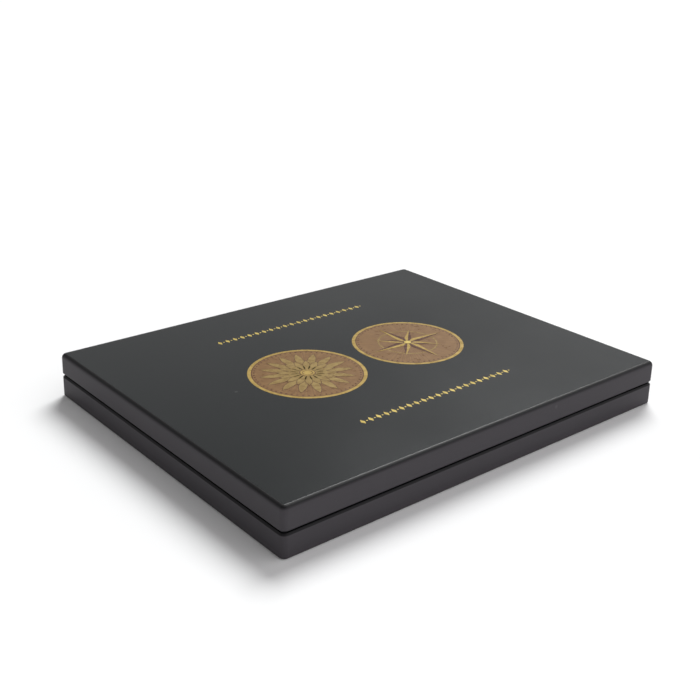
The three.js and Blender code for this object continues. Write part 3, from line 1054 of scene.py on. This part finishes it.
@dataclass
class BaseFrame:
    """The four lower walls in one ring, bevelled at the rim, rebated for panel and felt below."""

    place: Place
    panel: Place
    felt: Place
    profile: RimProfile = RimProfile()
    wall: float = 9 * MM
    corner_radius: float = 3.6 * MM
    foot_radius: float = 0.8 * MM
    foot_steps: int = 6
    inner_arris: float = 0.3 * MM
    gap: float = 0.3 * MM

    def build(self) -> Piece:
        """Models the frame and dresses it.

        Returns:
            The frame.
        """
        rim, foot = self.place.high.z, self.place.low.z
        end = Vector((self.place.high.x, self.place.high.y, self.profile.wall_end(-1)))
        ring = Piece.block("base_lacquered_frame", self.place.low, end)
        ring.rounded(upright(), self.corner_radius, CORNER_STEPS)
        ring.rounded(at_level(foot), self.foot_radius, self.foot_steps)
        self.profile.shape(ring, rim, -1)
        room = Vector((self.wall, self.wall, -self.wall))
        ring.joined(Piece.block("well", self.place.low + room, self.place.high - room))
        ring.rounded(rim_edges(self.place, self.wall, rim), self.inner_arris, ARRIS_STEPS)
        for rebated in (self.panel, self.felt):
            spread = Vector((self.gap, self.gap, 0))
            low = rebated.low - spread
            low.z = -self.wall
            high = rebated.high + spread + Vector((0, 0, self.gap))
            cutter = Piece.block("rebate", low, high)
            if rebated is self.felt:
                cutter.rounded(upright(), self.corner_radius + self.gap, CORNER_STEPS)
            ring.joined(cutter)
        for side in Side:
            for cutter in Hardware.on(side).cutters(rim, -1):
                ring.joined(cutter)
        return ring.smooth().dressed(LACQUER, Body.BASE, "base_frame")


@dataclass
class Sheet:
    """A flat lining with rounded corners and soft edges: felt, foam or covered card."""

    node: str
    name: str
    finish: Finish
    body: Body
    corner_radius: float
    soft_edge: float

    def build(self) -> Piece:
        """Models the sheet and dresses it.

        Returns:
            The sheet.
        """
        place = Place.of(self.node)
        sheet = Piece.block(self.name, place.low, place.high)
        sheet.rounded(upright(), self.corner_radius, 10)
        levels = at_level(place.low.z), at_level(place.high.z)
        sheet.rounded(lambda e: any(level(e) for level in levels), self.soft_edge, 3)
        return sheet.smooth().dressed(self.finish, self.body, self.node)


@dataclass
class CoinTray:
    """The velvet board with its grid of round seats, and the covered card that they end on."""

    columns: int = 6
    rows: int = 5
    seat_diameter: float = 37 * MM
    lip_radius: float = 1.1 * MM
    lip_steps: int = 5
    corner_radius: float = 1.5 * MM
    overrun: float = 3 * MM

    def seat_cutter(self, bottom: float, top: float) -> Piece:
        """Models the shape of one seat, flared at its mouth.

        Args:
            bottom: The height of the board's underside.
            top: The height of the board's face.

        Returns:
            The cutter, centred on the origin.
        """
        radius = self.seat_diameter / 2
        lip = [
            (radius + self.lip_radius - up, top - self.lip_radius + along)
            for along, up in quarter_round(self.lip_radius, self.lip_steps)
        ]
        end = (radius + self.lip_radius, top + self.overrun)
        return Piece.turned("seat", [(radius, bottom - self.overrun), *lip, end], SEAT_SIDES)

    def build(self) -> list[Piece]:
        """Models the board and the floor and dresses them.

        Returns:
            Both pieces.
        """
        place = Place.of("tray_board")
        size = place.high - place.low
        board = Piece.block("tray_velvet_board", place.low, place.high)
        board.rounded(upright(), self.corner_radius, 8)
        board.rounded(at_level(place.high.z), self.lip_radius, self.lip_steps)
        band_x = (size.x - self.columns * self.seat_diameter) / (self.columns + 1)
        band_y = (size.y - self.rows * self.seat_diameter) / (self.rows + 1)
        first = Vector((place.low.x + band_x, place.low.y + band_y, 0))
        half = self.seat_diameter / 2
        seats = self.seat_cutter(place.low.z, place.high.z)
        seats.placed((first.x + half, first.y + half, 0))
        seats.repeated(self.columns, (self.seat_diameter + band_x, 0, 0))
        seats.repeated(self.rows, (0, self.seat_diameter + band_y, 0))
        board.joined(seats).smooth(FINE_CREASE).dressed(VELVET, Body.BASE, "tray_board")
        floor = Sheet(
            "tray_floor", "tray_velvet_floor", VELVET, Body.BASE, self.corner_radius, 0.4 * MM
        ).build()
        return [board, floor]


SATIN_CLOTH = {
    "quality": 6,
    "mass": 0.12,
    "tension_stiffness": 12,
    "compression_stiffness": 4,
    "shear_stiffness": 3,
    "bending_stiffness": 0.15,
}


@dataclass
class LidCushion:
    """Satin over foam on the lid's card, drawn down at its edges and puffed towards the coins."""

    place: Place
    sides_in: float = 1.0 * MM
    start_share: float = 0.62
    corner_radius: float = 3 * MM
    roll_radius: float = 2.4 * MM
    cloth_step: float = 3.2 * MM
    frames: int = 18
    pressure: float = 3.0
    looseness: float = 0.018
    swell_limit: float = 2.2 * MM
    pinned_share: float = 0.3

    def pad(self) -> Piece:
        """Models the foam's shape before the cloth is stretched over it.

        Returns:
            The pad, remeshed evenly.
        """
        thickness = (self.place.high.z - self.place.low.z) * self.start_share
        low = self.place.low + Vector((self.sides_in, self.sides_in, 0))
        low.z = self.place.high.z - thickness
        high = self.place.high - Vector((self.sides_in, self.sides_in, 0))
        pad = Piece.block("lid_satin_cushion", low, high)
        pad.rounded(upright(), self.corner_radius, 4)
        pad.rounded(at_level(low.z), self.roll_radius, 4)
        return pad.apply("REMESH", mode="VOXEL", voxel_size=self.cloth_step)

    def puff(self, pad: Piece) -> None:
        """Blows the satin up with the card's side held, and caps how far a point moves.

        Args:
            pad: The pad, which becomes the cushion.
        """
        mesh = pad.item.data
        rest = [v.co.copy() for v in mesh.vertices]
        thickness = self.place.high.z - min(p.z for p in rest)
        pinned_from = self.place.high.z - thickness * self.pinned_share
        held = [i for i, p in enumerate(rest) if p.z > pinned_from]
        pins = pad.item.vertex_groups.new(name="held")
        pins.add(held, 1.0, "REPLACE")
        pad.hold()
        cloth = pad.item.modifiers.new("satin", "CLOTH")
        for key, value in SATIN_CLOTH.items():
            setattr(cloth.settings, key, value)
        cloth.settings.shrink_min = -self.looseness
        cloth.settings.use_pressure = True
        cloth.settings.uniform_pressure_force = self.pressure
        cloth.settings.vertex_group_mass = "held"
        cloth.settings.effector_weights.gravity = 0
        cloth.collision_settings.use_collision = False
        cloth.point_cache.frame_start = 1
        cloth.point_cache.frame_end = self.frames
        for number in range(1, self.frames + 1):
            bpy.context.scene.frame_set(number)
        bpy.ops.object.modifier_apply(modifier=cloth.name)
        bpy.context.scene.frame_set(1)
        for vertex, was in zip(pad.item.data.vertices, rest):
            move = vertex.co - was
            if move.length > self.swell_limit:
                vertex.co = was + move.normalized() * self.swell_limit
            vertex.co.z = min(vertex.co.z, self.place.high.z)

    def build(self) -> Piece:
        """Models the cushion and dresses it.

        Returns:
            The cushion.
        """
        pad = self.pad()
        self.puff(pad)
        pad.apply("SMOOTH", factor=0.5, iterations=2)
        pad.apply("SUBSURF", levels=1, render_levels=1)
        pad.hold()
        bpy.ops.object.shade_smooth()
        pad.dressed(SATIN, Body.LID, "lid_cushion")
        return pad


@dataclass
class Hinge:
    """One hinge of five knuckles: a leaf in each rim, the pin and four countersunk screws."""

    side: Side
    knuckle_count: int = 5
    leaf_sizes: LeafSizes = LeafSizes()
    knuckle_gap: float = 0.3 * MM
    bore_radius: float = 0.8 * MM
    leaf_corner: float = 1.2 * MM
    arris: float = 0.12 * MM
    pin_radius: float = 0.5 * MM
    head_radius: float = 1.0 * MM
    head_length: float = 0.6 * MM
    screw_head: float = 1.5 * MM
    screw_shank: float = 0.8 * MM
    screw_length: float = 6 * MM
    screw_tip: float = 1.6 * MM
    screw_spread: float = 8.5 * MM
    screw_inset: float = 2.2 * MM
    slot_width: float = 0.45 * MM
    slot_depth: float = 0.35 * MM
    slot_turns: tuple[float, float] = (-12, 28)
    turn_step: float = 35
    overrun: float = 2 * MM

    def __post_init__(self) -> None:
        """Reads the hinge's place from the frame."""
        leaf = Place.of(f"hinge_{self.side.word}_base_leaf")
        self.low_x, self.high_x = leaf.low.x, leaf.high.x
        self.centre = Vector((leaf.centre.x, HINGE_AXIS.y, HINGE_AXIS.z))
        base_rim, lid_rim = Place.of("base_frame").high.z, Place.of("lid_shell").low.z
        self.rims = {Body.BASE: base_rim, Body.LID: lid_rim}

    def rod(self, name: str, radius: float, start: float, end: float) -> Piece:
        """Models a round rod on the hinge axis between two places along X."""
        return Piece.turned(name, [(radius, start), (radius, end)]).placed(
            (0, HINGE_AXIS.y, HINGE_AXIS.z), (0, math.pi / 2, 0)
        )

    def stations(self) -> list[tuple[float, float]]:
        """Start and end of each knuckle along X."""
        gaps = (self.knuckle_count - 1) * self.knuckle_gap
        length = (self.high_x - self.low_x - gaps) / self.knuckle_count
        starts = [self.low_x + i * (length + self.knuckle_gap) for i in range(self.knuckle_count)]
        return [(start, start + length) for start in starts]

    def screw_places(self, body: Body) -> list[Vector]:
        """The middles of the two screw heads in one rim."""
        y = HINGE_AXIS.y - self.leaf_sizes.reach + self.screw_inset
        return [
            Vector((self.centre.x + way * self.screw_spread, y, self.rims[body])) for way in (-1, 1)
        ]

    def leaf(self, body: Body) -> Piece:
        """Models one leaf with its knuckles, its bore and its countersunk holes.

        Args:
            body: The half that the leaf is let into.

        Returns:
            The leaf, dressed.
        """
        inward = 1 if body is Body.LID else -1
        parity = 1 if body is Body.LID else 0
        rim = self.rims[body]
        front = HINGE_AXIS.y - self.leaf_sizes.reach
        leaf = Piece.slab(
            f"hinge_{self.side.word}_{body.value}_plate",
            (self.low_x, self.high_x),
            (front, HINGE_AXIS.y),
            (rim, rim + inward * self.leaf_sizes.thickness),
        )

        def at_front(edge: bmesh.types.BMEdge) -> bool:
            return upright()(edge) and all(abs(v.co.y - front) < TOUCH for v in edge.verts)

        leaf.rounded(at_front, self.leaf_corner, 6)
        stations = self.stations()
        relief_radius = self.leaf_sizes.knuckle_radius + self.leaf_sizes.gap
        for index, (start, end) in enumerate(stations):
            if index % 2 == parity:
                knuckle = self.rod("knuckle", self.leaf_sizes.knuckle_radius, start, end)
                knuckle.rounded(around_x(), self.arris, ARRIS_STEPS)
                leaf.joined(knuckle, "UNION")
        for index, (start, end) in enumerate(stations):
            if index % 2 != parity:
                at_end = index == self.knuckle_count - 1
                first = start - (self.overrun if index == 0 else self.knuckle_gap)
                last = end + (self.overrun if at_end else self.knuckle_gap)
                leaf.joined(self.rod("relief", relief_radius, first, last))
        over = self.overrun
        bore = self.rod("bore", self.bore_radius, self.low_x - over, self.high_x + over)
        leaf.joined(bore)
        head, shank = (r + self.leaf_sizes.gap for r in (self.screw_head, self.screw_shank))
        through = self.leaf_sizes.thickness + self.overrun
        for place in self.screw_places(body):
            sink = Piece.turned(
                "sink",
                [
                    (head, -inward * self.overrun),
                    (head, 0),
                    (shank, inward * (head - shank)),
                    (shank, inward * through),
                ],
                SCREW_SIDES,
            ).placed(place)
            leaf.joined(sink)
        node = f"hinge_{self.side.word}_{body.value}_leaf"
        return leaf.smooth(FINE_CREASE).dressed(NICKEL, body, node)

    def pin(self) -> Piece:
        """Models the pin with a domed head at each end.

        Returns:
            The pin, dressed.
        """
        inner = (self.high_x - self.low_x) / 2 + self.leaf_sizes.gap
        dome = [
            (self.head_radius - self.head_length + up, inner + along)
            for along, up in quarter_round(self.head_length, 5)
        ]
        half = [(self.pin_radius, 0), (self.pin_radius, inner), *dome]
        profile = [(radius, -x) for radius, x in reversed(half[1:])] + half[1:]
        pin = Piece.turned(f"hinge_{self.side.word}_round_pin", profile)
        pin.placed(self.centre, (0, math.pi / 2, 0))
        return pin.smooth(FINE_CREASE).dressed(NICKEL, Body.BASE, f"hinge_{self.side.word}_pin")

    def screws(self, body: Body) -> list[Piece]:
        """Models one screw and copies it to the second hole.

        Args:
            body: The half that the screws hold the leaf to.

        Returns:
            Both screws, dressed.
        """
        inward = 1 if body is Body.LID else -1
        neck = self.screw_head - self.screw_shank
        steps = [
            (self.screw_head - self.arris, 0),
            (self.screw_head, self.arris),
            (self.screw_shank, self.arris + neck),
            (self.screw_shank, self.screw_length - self.screw_tip),
            (self.arris, self.screw_length),
        ]
        profile = [(radius, inward * depth) for radius, depth in steps]
        model = Piece.turned("screw", profile, SCREW_SIDES)
        slot = Piece.slab(
            "slot",
            (-self.overrun, self.overrun),
            (-self.slot_width / 2, self.slot_width / 2),
            (-inward * self.overrun, inward * self.slot_depth),
        )
        slot.placed((0, 0, 0), (0, 0, math.radians(self.slot_turns[body is Body.LID])))
        model.joined(slot)
        model.smooth(FINE_CREASE)
        made = []
        for number, place in enumerate(self.screw_places(body), 1):
            turn = math.radians(self.turn_step * number * self.side.value)
            screw = model.copied(
                f"hinge_{self.side.word}_{body.value}_slotted_screw_{number}", place, (0, 0, turn)
            )
            node = f"hinge_{self.side.word}_{body.value}_screw_{number}"
            made.append(screw.dressed(NICKEL, body, node))
        model.removed()
        return made

    def build(self) -> list[Piece]:
        """Models the whole hinge.

        Returns:
            Its seven pieces.
        """
        leaves = [self.leaf(body) for body in Body]
        return [*leaves, self.pin(), *self.screws(Body.BASE), *self.screws(Body.LID)]


@dataclass
class Magnets:
    """The four plated disc magnets in the front rims."""

    edge: float = 0.35 * MM

    def build(self) -> list[Piece]:
        """Models one magnet and copies it to each place.

        Returns:
            The four magnets, dressed.
        """
        place = Place.of("base_magnet_left")
        radius = (place.high.x - place.low.x) / 2
        length = place.high.z - place.low.z
        rim = [
            (radius - self.edge + up, length / 2 - self.edge + along)
            for along, up in quarter_round(self.edge, 4)
        ]
        profile = [(r, -height) for r, height in reversed(rim)] + rim
        model = Piece.turned("magnet", profile, MAGNET_SIDES)
        model.smooth(FINE_CREASE)
        made = []
        for side in Side:
            for body in Body:
                node = f"{body.value}_magnet_{side.word}"
                copy = model.copied(f"{body.value}_disc_magnet_{side.word}", Place.of(node).centre)
                made.append(copy.dressed(MAGNET, body, node))
        model.removed()
        return made


# ---------------------------------------------------------------- the print


class Motif(Enum):
    """What a roundel shows in its field."""

    ROSETTE = "rosette"
    STAR = "star"


@dataclass
class Roundel:
    """A printed medallion: rim, fine line, ring of beads, rayed field and a plain motif."""

    name: str
    centre: tuple[float, float]
    motif: Motif
    radius: float = 38 * MM
    rim_width: float = 2.3 * MM
    line_width: float = 0.6 * MM
    bead_radius: float = 0.62 * MM
    bead_count: int = 60
    petal_count: int = 16
    petal_roundness: float = 1.1
    petal_steps: int = 10
    petal_edge: float = 0.35 * MM
    star_waist: float = 0.22
    film: float = 0.02 * MM

    def lay(self, piece: Piece, layer: int, finish: Finish) -> Piece:
        """Thickens a flat motif into a film, lays it on the lid and dresses it.

        Args:
            piece: The flat piece, drawn about the origin.
            layer: How many films lie under it.
            finish: Its ink.

        Returns:
            The piece.
        """
        top = Place.of("lid_shell").high.z
        piece.thickened(self.film).placed((*self.centre, top + layer * self.film))
        return piece.dressed(finish, Body.LID)

    def ring(self, name: str, outer: float, width: float, layer: int, finish: Finish) -> Piece:
        """Prints a plain ring.

        Args:
            name: The ring's name.
            outer: Its outer radius.
            width: Its width.
            layer: How many films lie under it.
            finish: Its ink.

        Returns:
            The ring.
        """
        ring = Piece.disc(f"{self.name}_{name}", outer, 0, RING_SIDES).hollowed(width)
        return self.lay(ring, layer, finish)

    def dot(self, name: str, radius: float, layer: int, finish: Finish, sides: int) -> Piece:
        """Prints a plain disc in the middle."""
        return self.lay(Piece.disc(f"{self.name}_{name}", radius, 0, sides), layer, finish)

    def spun(self, piece: Piece, count: int) -> Piece:
        """Repeats a flat shape evenly about the origin.

        Args:
            piece: The shape at its place at the top.
            count: How many there are in the end.

        Returns:
            The piece.
        """
        with piece.editing("FACE", whole=True):
            bpy.ops.mesh.spin(
                steps=count - 1,
                dupli=True,
                angle=2 * math.pi * (count - 1) / count,
                use_auto_merge=False,
                center=(0, 0, 0),
                axis=(0, 0, 1),
            )
        return piece

    def petal(self, name: str, start: float, end: float, width: float) -> Piece:
        """Draws a pointed petal that reaches up from the centre.

        Args:
            name: The petal's name.
            start: Where it starts above the origin.
            end: Where it ends.
            width: Its greatest width.

        Returns:
            The flat petal.
        """
        petal = Piece.disc(name, 1.0, 0, 4)
        with petal.editing("VERT"):
            petal.pick("verts", lambda v: abs(v.co.x) > 0.5)
            bpy.ops.mesh.bevel(
                offset=self.petal_roundness,
                segments=self.petal_steps,
                affect="VERTICES",
                clamp_overlap=True,
            )
        widest = max(v.co.x for v in petal.item.data.vertices)
        size = (width / 2 / widest, (end - start) / 2, 1)
        return petal.scaled(size, (0, (start + end) / 2, 0))

    def rosette(self) -> list[Piece]:
        """Prints a flower of two rings of petals, each petal edged with umber.

        Returns:
            The pieces of the flower.
        """
        made = []
        rings = (
            ("outer", 9 * MM, 30.5 * MM, 5.2 * MM, 0.0, 2),
            ("inner", 3 * MM, 19 * MM, 4.6 * MM, math.pi / self.petal_count, 4),
        )
        for word, start, end, width, start_turn, layer in rings:
            for grown, ink, extra in ((self.petal_edge, UMBER, 0), (0.0, MOTIF_GILT, 1)):
                name = f"{self.name}_{word}_{'edges' if grown else 'petals'}"
                grow = 2 * grown
                petal = self.petal(name, start - grow, end + grow, width + grow)
                self.spun(petal, self.petal_count).placed((0, 0, 0), (0, 0, start_turn))
                made.append(self.lay(petal, layer + extra, ink))
        made.append(self.dot("eye_edge", 5.2 * MM, 6, UMBER, EYE_SIDES))
        made.append(self.dot("eye", 4.7 * MM, 7, GILT, EYE_SIDES))
        made.append(self.ring("eye_line", 3.4 * MM, 0.4 * MM, 8, UMBER))
        return made

    def star(self) -> list[Piece]:
        """Prints an eight-pointed star, each point parted into a light and a dark half.

        Returns:
            The pieces of the star.
        """
        made = [self.ring("star_ring", 20.5 * MM, 1.0 * MM, 2, MOTIF_GILT)]
        rays = (
            ("short", 23.5 * MM, 5.4 * MM, math.pi / 4, 3),
            ("long", 31 * MM, 6.4 * MM, 0.0, 5),
        )
        for word, reach, width, turn, layer in rays:
            for half, ink in ((-1, GILT), (1, UMBER)):
                point = Piece.disc(f"{self.name}_{word}_{ink.name}", 1.0, 0, 4)
                with point.editing("VERT", whole=True):
                    bpy.ops.mesh.bisect(
                        plane_co=(0, 0, 0), plane_no=(half, 0, 0), clear_inner=True, use_fill=False
                    )
                with point.editing("VERT"):
                    point.pick("verts", lambda v: v.co.y < -0.5)
                    bpy.ops.transform.translate(value=(0, 1.0, 0))
                with point.editing("VERT"):
                    point.pick("verts", lambda v: abs(v.co.x) > 0.5)
                    bpy.ops.transform.translate(value=(0, self.star_waist, 0))
                point.scaled((width / 2, reach, 1))
                self.spun(point, 4).placed((0, 0, 0), (0, 0, turn))
                made.append(self.lay(point, layer, ink))
        made.append(self.dot("boss_edge", 3.0 * MM, 7, UMBER, BOSS_SIDES))
        made.append(self.dot("boss", 2.5 * MM, 8, PALE_GILT, BOSS_SIDES))
        return made

    def build(self) -> list[Piece]:
        """Prints the roundel.

        Returns:
            All its pieces.
        """
        field_ink = RayedFoil(f"{self.name}_field_ink", None, centre=self.centre)
        inner = self.radius - self.rim_width
        made = [
            self.dot("field", self.radius, 0, field_ink, RING_SIDES),
            self.ring("rim", self.radius, self.rim_width, 1, GILT),
            self.ring("rim_line", inner, self.line_width, 1, UMBER),
        ]
        bead = Piece.disc(f"{self.name}_beads", self.bead_radius, 0, BEAD_SIDES)
        bead.placed((0, inner - self.line_width - 2 * self.bead_radius, 0))
        made.append(self.lay(self.spun(bead, self.bead_count), 1, UMBER))
        return made + (self.rosette() if self.motif is Motif.ROSETTE else self.star())


@dataclass
class OrnamentBand:
    """A line of printed lozenges and dots along the width of the lid."""

    name: str
    y: float
    half_length: float = 60 * MM
    lozenge: tuple[float, float] = (2.9 * MM, 5.4 * MM)
    line_width: float = 0.75 * MM
    core_share: float = 0.42
    dot_radius: float = 0.6 * MM
    dot_sides: int = 16
    count: int = 21
    film: float = 0.02 * MM

    def build(self) -> Piece:
        """Models one lozenge and one dot, and repeats them along the line.

        Returns:
            The band, dressed.
        """
        step = 2 * self.half_length / (self.count - 1)
        width, height = self.lozenge
        band = Piece.disc(self.name, 1.0, 0, 4).scaled((width / 2, height / 2, 1))
        band.hollowed(self.line_width)
        core = Piece.disc("core", self.core_share * width / 2, 0, 4).scaled((1, height / width, 1))
        dot = Piece.disc("dot", self.dot_radius, 0, self.dot_sides).placed((step / 2, 0, 0))
        band.hold()
        for extra in (core, dot):
            extra.item.select_set(True)
        bpy.ops.object.join()
        band.repeated(self.count, (step, 0, 0)).thickened(self.film)
        band.placed((-self.half_length, self.y, Place.of("lid_shell").high.z))
        return band.dressed(PALE_GILT, Body.LID)


# ---------------------------------------------------------------- the studio


@dataclass(frozen=True)
class Softbox:
    """One wide soft lamp, so far away that it lights the whole floor evenly."""

    name: str
    towards: tuple[float, float, float]
    strength: float
    spread_degrees: float
    tint: tuple[float, float, float]
    distance: float = 3.0

    def build(self) -> None:
        """Hangs the lamp."""
        data = bpy.data.lights.new(self.name, "SUN")
        data.energy = self.strength * math.pi
        data.angle = math.radians(self.spread_degrees)
        data.color = self.tint
        lamp = bpy.data.objects.new(self.name, data)
        bpy.context.scene.collection.objects.link(lamp)
        lamp.location = Vector(self.towards).normalized() * self.distance
        lamp.rotation_mode = "QUATERNION"
        lamp.rotation_quaternion = (-lamp.location).to_track_quat("-Z", "Y")


@dataclass(frozen=True)
class PhotoCamera:
    """The camera that took the photograph: where it stands and how it is turned."""

    place: tuple[float, float, float] = (-0.4232, -0.4889, 0.3021)
    azimuth: float = -40.225
    elevation: float = 18.707
    roll: float = 1.374
    focal_length: float = 54.802
    sensor_width: float = 36.0
    clip_start: float = 0.05
    lens_shift: float = -0.10

    def build(self) -> None:
        """Sets up the camera and makes it the scene's own."""
        a, e, r = (math.radians(x) for x in (self.azimuth, self.elevation, self.roll))
        back = Vector((math.sin(a) * math.cos(e), -math.cos(a) * math.cos(e), math.sin(e)))
        level = Vector((math.cos(a), math.sin(a), 0))
        across = back.cross(level)
        right = math.cos(r) * level + math.sin(r) * across
        up = math.cos(r) * across - math.sin(r) * level
        data = bpy.data.cameras.new("photo_camera")
        data.lens = self.focal_length
        data.sensor_width = self.sensor_width
        data.shift_y = self.lens_shift
        data.clip_start = self.clip_start
        camera = bpy.data.objects.new("photo_camera", data)
        bpy.context.scene.collection.objects.link(camera)
        turn = Matrix((right, up, back)).transposed()
        camera.matrix_world = Matrix.Translation(self.place) @ turn.to_4x4()
        bpy.context.scene.camera = camera


@dataclass
class Studio:
    """A white floor, a surround that pales towards the horizon and two soft lamps."""

    floor_size: float = 40.0
    floor_colour: str = "f7f7f7"
    floor_lift: float = 0.04
    zenith: float = 0.08
    horizon: float = 0.48
    horizon_range: tuple[float, float] = (0.50, 0.60)
    backdrop_range: tuple[float, float] = (0.07, 0.17)

    def floor(self) -> None:
        """Lays the floor just under the case, white where no shadow falls on it."""
        clear_selection()
        bpy.ops.mesh.primitive_plane_add(size=self.floor_size)
        floor = Piece(bpy.context.object, "floor")
        sheet = NodeSheet("white_floor")
        path = sheet.add("LightPath")
        seen = sheet.math("MAXIMUM", path["Is Camera Ray"], path["Is Glossy Ray"])
        seen = sheet.math("MAXIMUM", seen, path["Is Transmission Ray"])
        sheet.feed(
            {
                "Base Color": linear(self.floor_colour),
                "Roughness": 1.0,
                "Specular IOR Level": 0.0,
                "Emission Color": (1, 1, 1, 1),
                "Emission Strength": sheet.math("MULTIPLY", seen, self.floor_lift),
            }
        )
        floor.item.data.materials.append(sheet.material)

    def surround(self) -> None:
        """Puts a plain grey sky around the case, which the camera sees as a white backdrop.

        Shiny faces mirror the backdrop as white up to the height of a studio's sweep.
        """
        world = bpy.data.worlds.new("studio_surround")
        bpy.context.scene.world = world
        world.use_nodes = True
        world.node_tree.nodes.clear()
        sky = Nodes(world.node_tree)
        height = sky.add("SeparateXYZ", {0: sky.add("TexCoord")["Generated"]})["Z"]
        soft = {"interpolation_type": "SMOOTHSTEP"}
        level = sky.span(height, *self.horizon_range, self.horizon, self.zenith, **soft)
        sweep = sky.span(height, *self.backdrop_range, 1.0, 0.0, **soft)
        path = sky.add("LightPath")
        mirrored = sky.math("MAXIMUM", path["Is Glossy Ray"], path["Is Transmission Ray"])
        mirrored = sky.math("MULTIPLY", mirrored, sweep)
        white = sky.math("MAXIMUM", path["Is Camera Ray"], mirrored)
        strength = sky.span(white, low=level)
        light = sky.add("Background", {"Color": (1, 1, 1, 1), "Strength": strength})
        sky.add("OutputWorld", {"Surface": light[0]})

    def build(self) -> None:
        """Sets up floor, surround, lamps and camera."""
        self.floor()
        self.surround()
        Softbox(
            "key_lamp",
            towards=(0.57, 0.39, 0.73),
            strength=0.93,
            spread_degrees=30,
            tint=(0.99, 1.0, 1.0),
        ).build()
        Softbox(
            "fill_lamp",
            towards=(0.42, -0.60, 0.68),
            strength=0.31,
            spread_degrees=80,
            tint=(1.0, 0.98, 1.0),
        ).build()
        PhotoCamera().build()
        bpy.context.scene.view_settings.view_transform = "Standard"


def dress_node(node: str, finish: Finish) -> None:
    """Gives a node of the frame, kept as it is, a finish."""
    item = frame["nodes"][node]
    if not item.material_slots:
        item.data.materials.append(finish.material())
    item.material_slots[0].material = finish.material()
    LOG.info("%s keeps its own shape in %s", node, finish.name)


def main() -> None:
    """Builds the studio and the case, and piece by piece."""
    logging.basicConfig(level=logging.INFO, format="%(name)s: %(message)s")
    Studio().build()
    dress_node("base_panel", FIBREBOARD)
    dress_node("lid_card", CARD)
    LidShell(Place.of("lid_shell")).build()
    BaseFrame(Place.of("base_frame"), Place.of("base_panel"), Place.of("base_felt")).build()
    Sheet(
        "base_felt",
        "base_felt_sheet",
        FELT,
        Body.BASE,
        corner_radius=3.6 * MM,
        soft_edge=0.15 * MM,
    ).build()
    foam = Sheet(
        "tray_foam",
        "tray_foam_sheet",
        FOAM,
        Body.BASE,
        corner_radius=1.5 * MM,
        soft_edge=0.25 * MM,
    ).build()
    CoinTray().build()
    LidCushion(Place.of("lid_cushion")).build()
    for side in Side:
        Hinge(side).build()
    Magnets().build()
    Roundel("left_roundel", (-ROUNDEL_OFFSET, 0.0), Motif.ROSETTE).build()
    Roundel("right_roundel", (ROUNDEL_OFFSET, 0.0), Motif.STAR).build()
    OrnamentBand("back_band", BAND_OFFSET).build()
    OrnamentBand("front_band", -BAND_OFFSET).build()


if __name__ == "__main__":
    main()
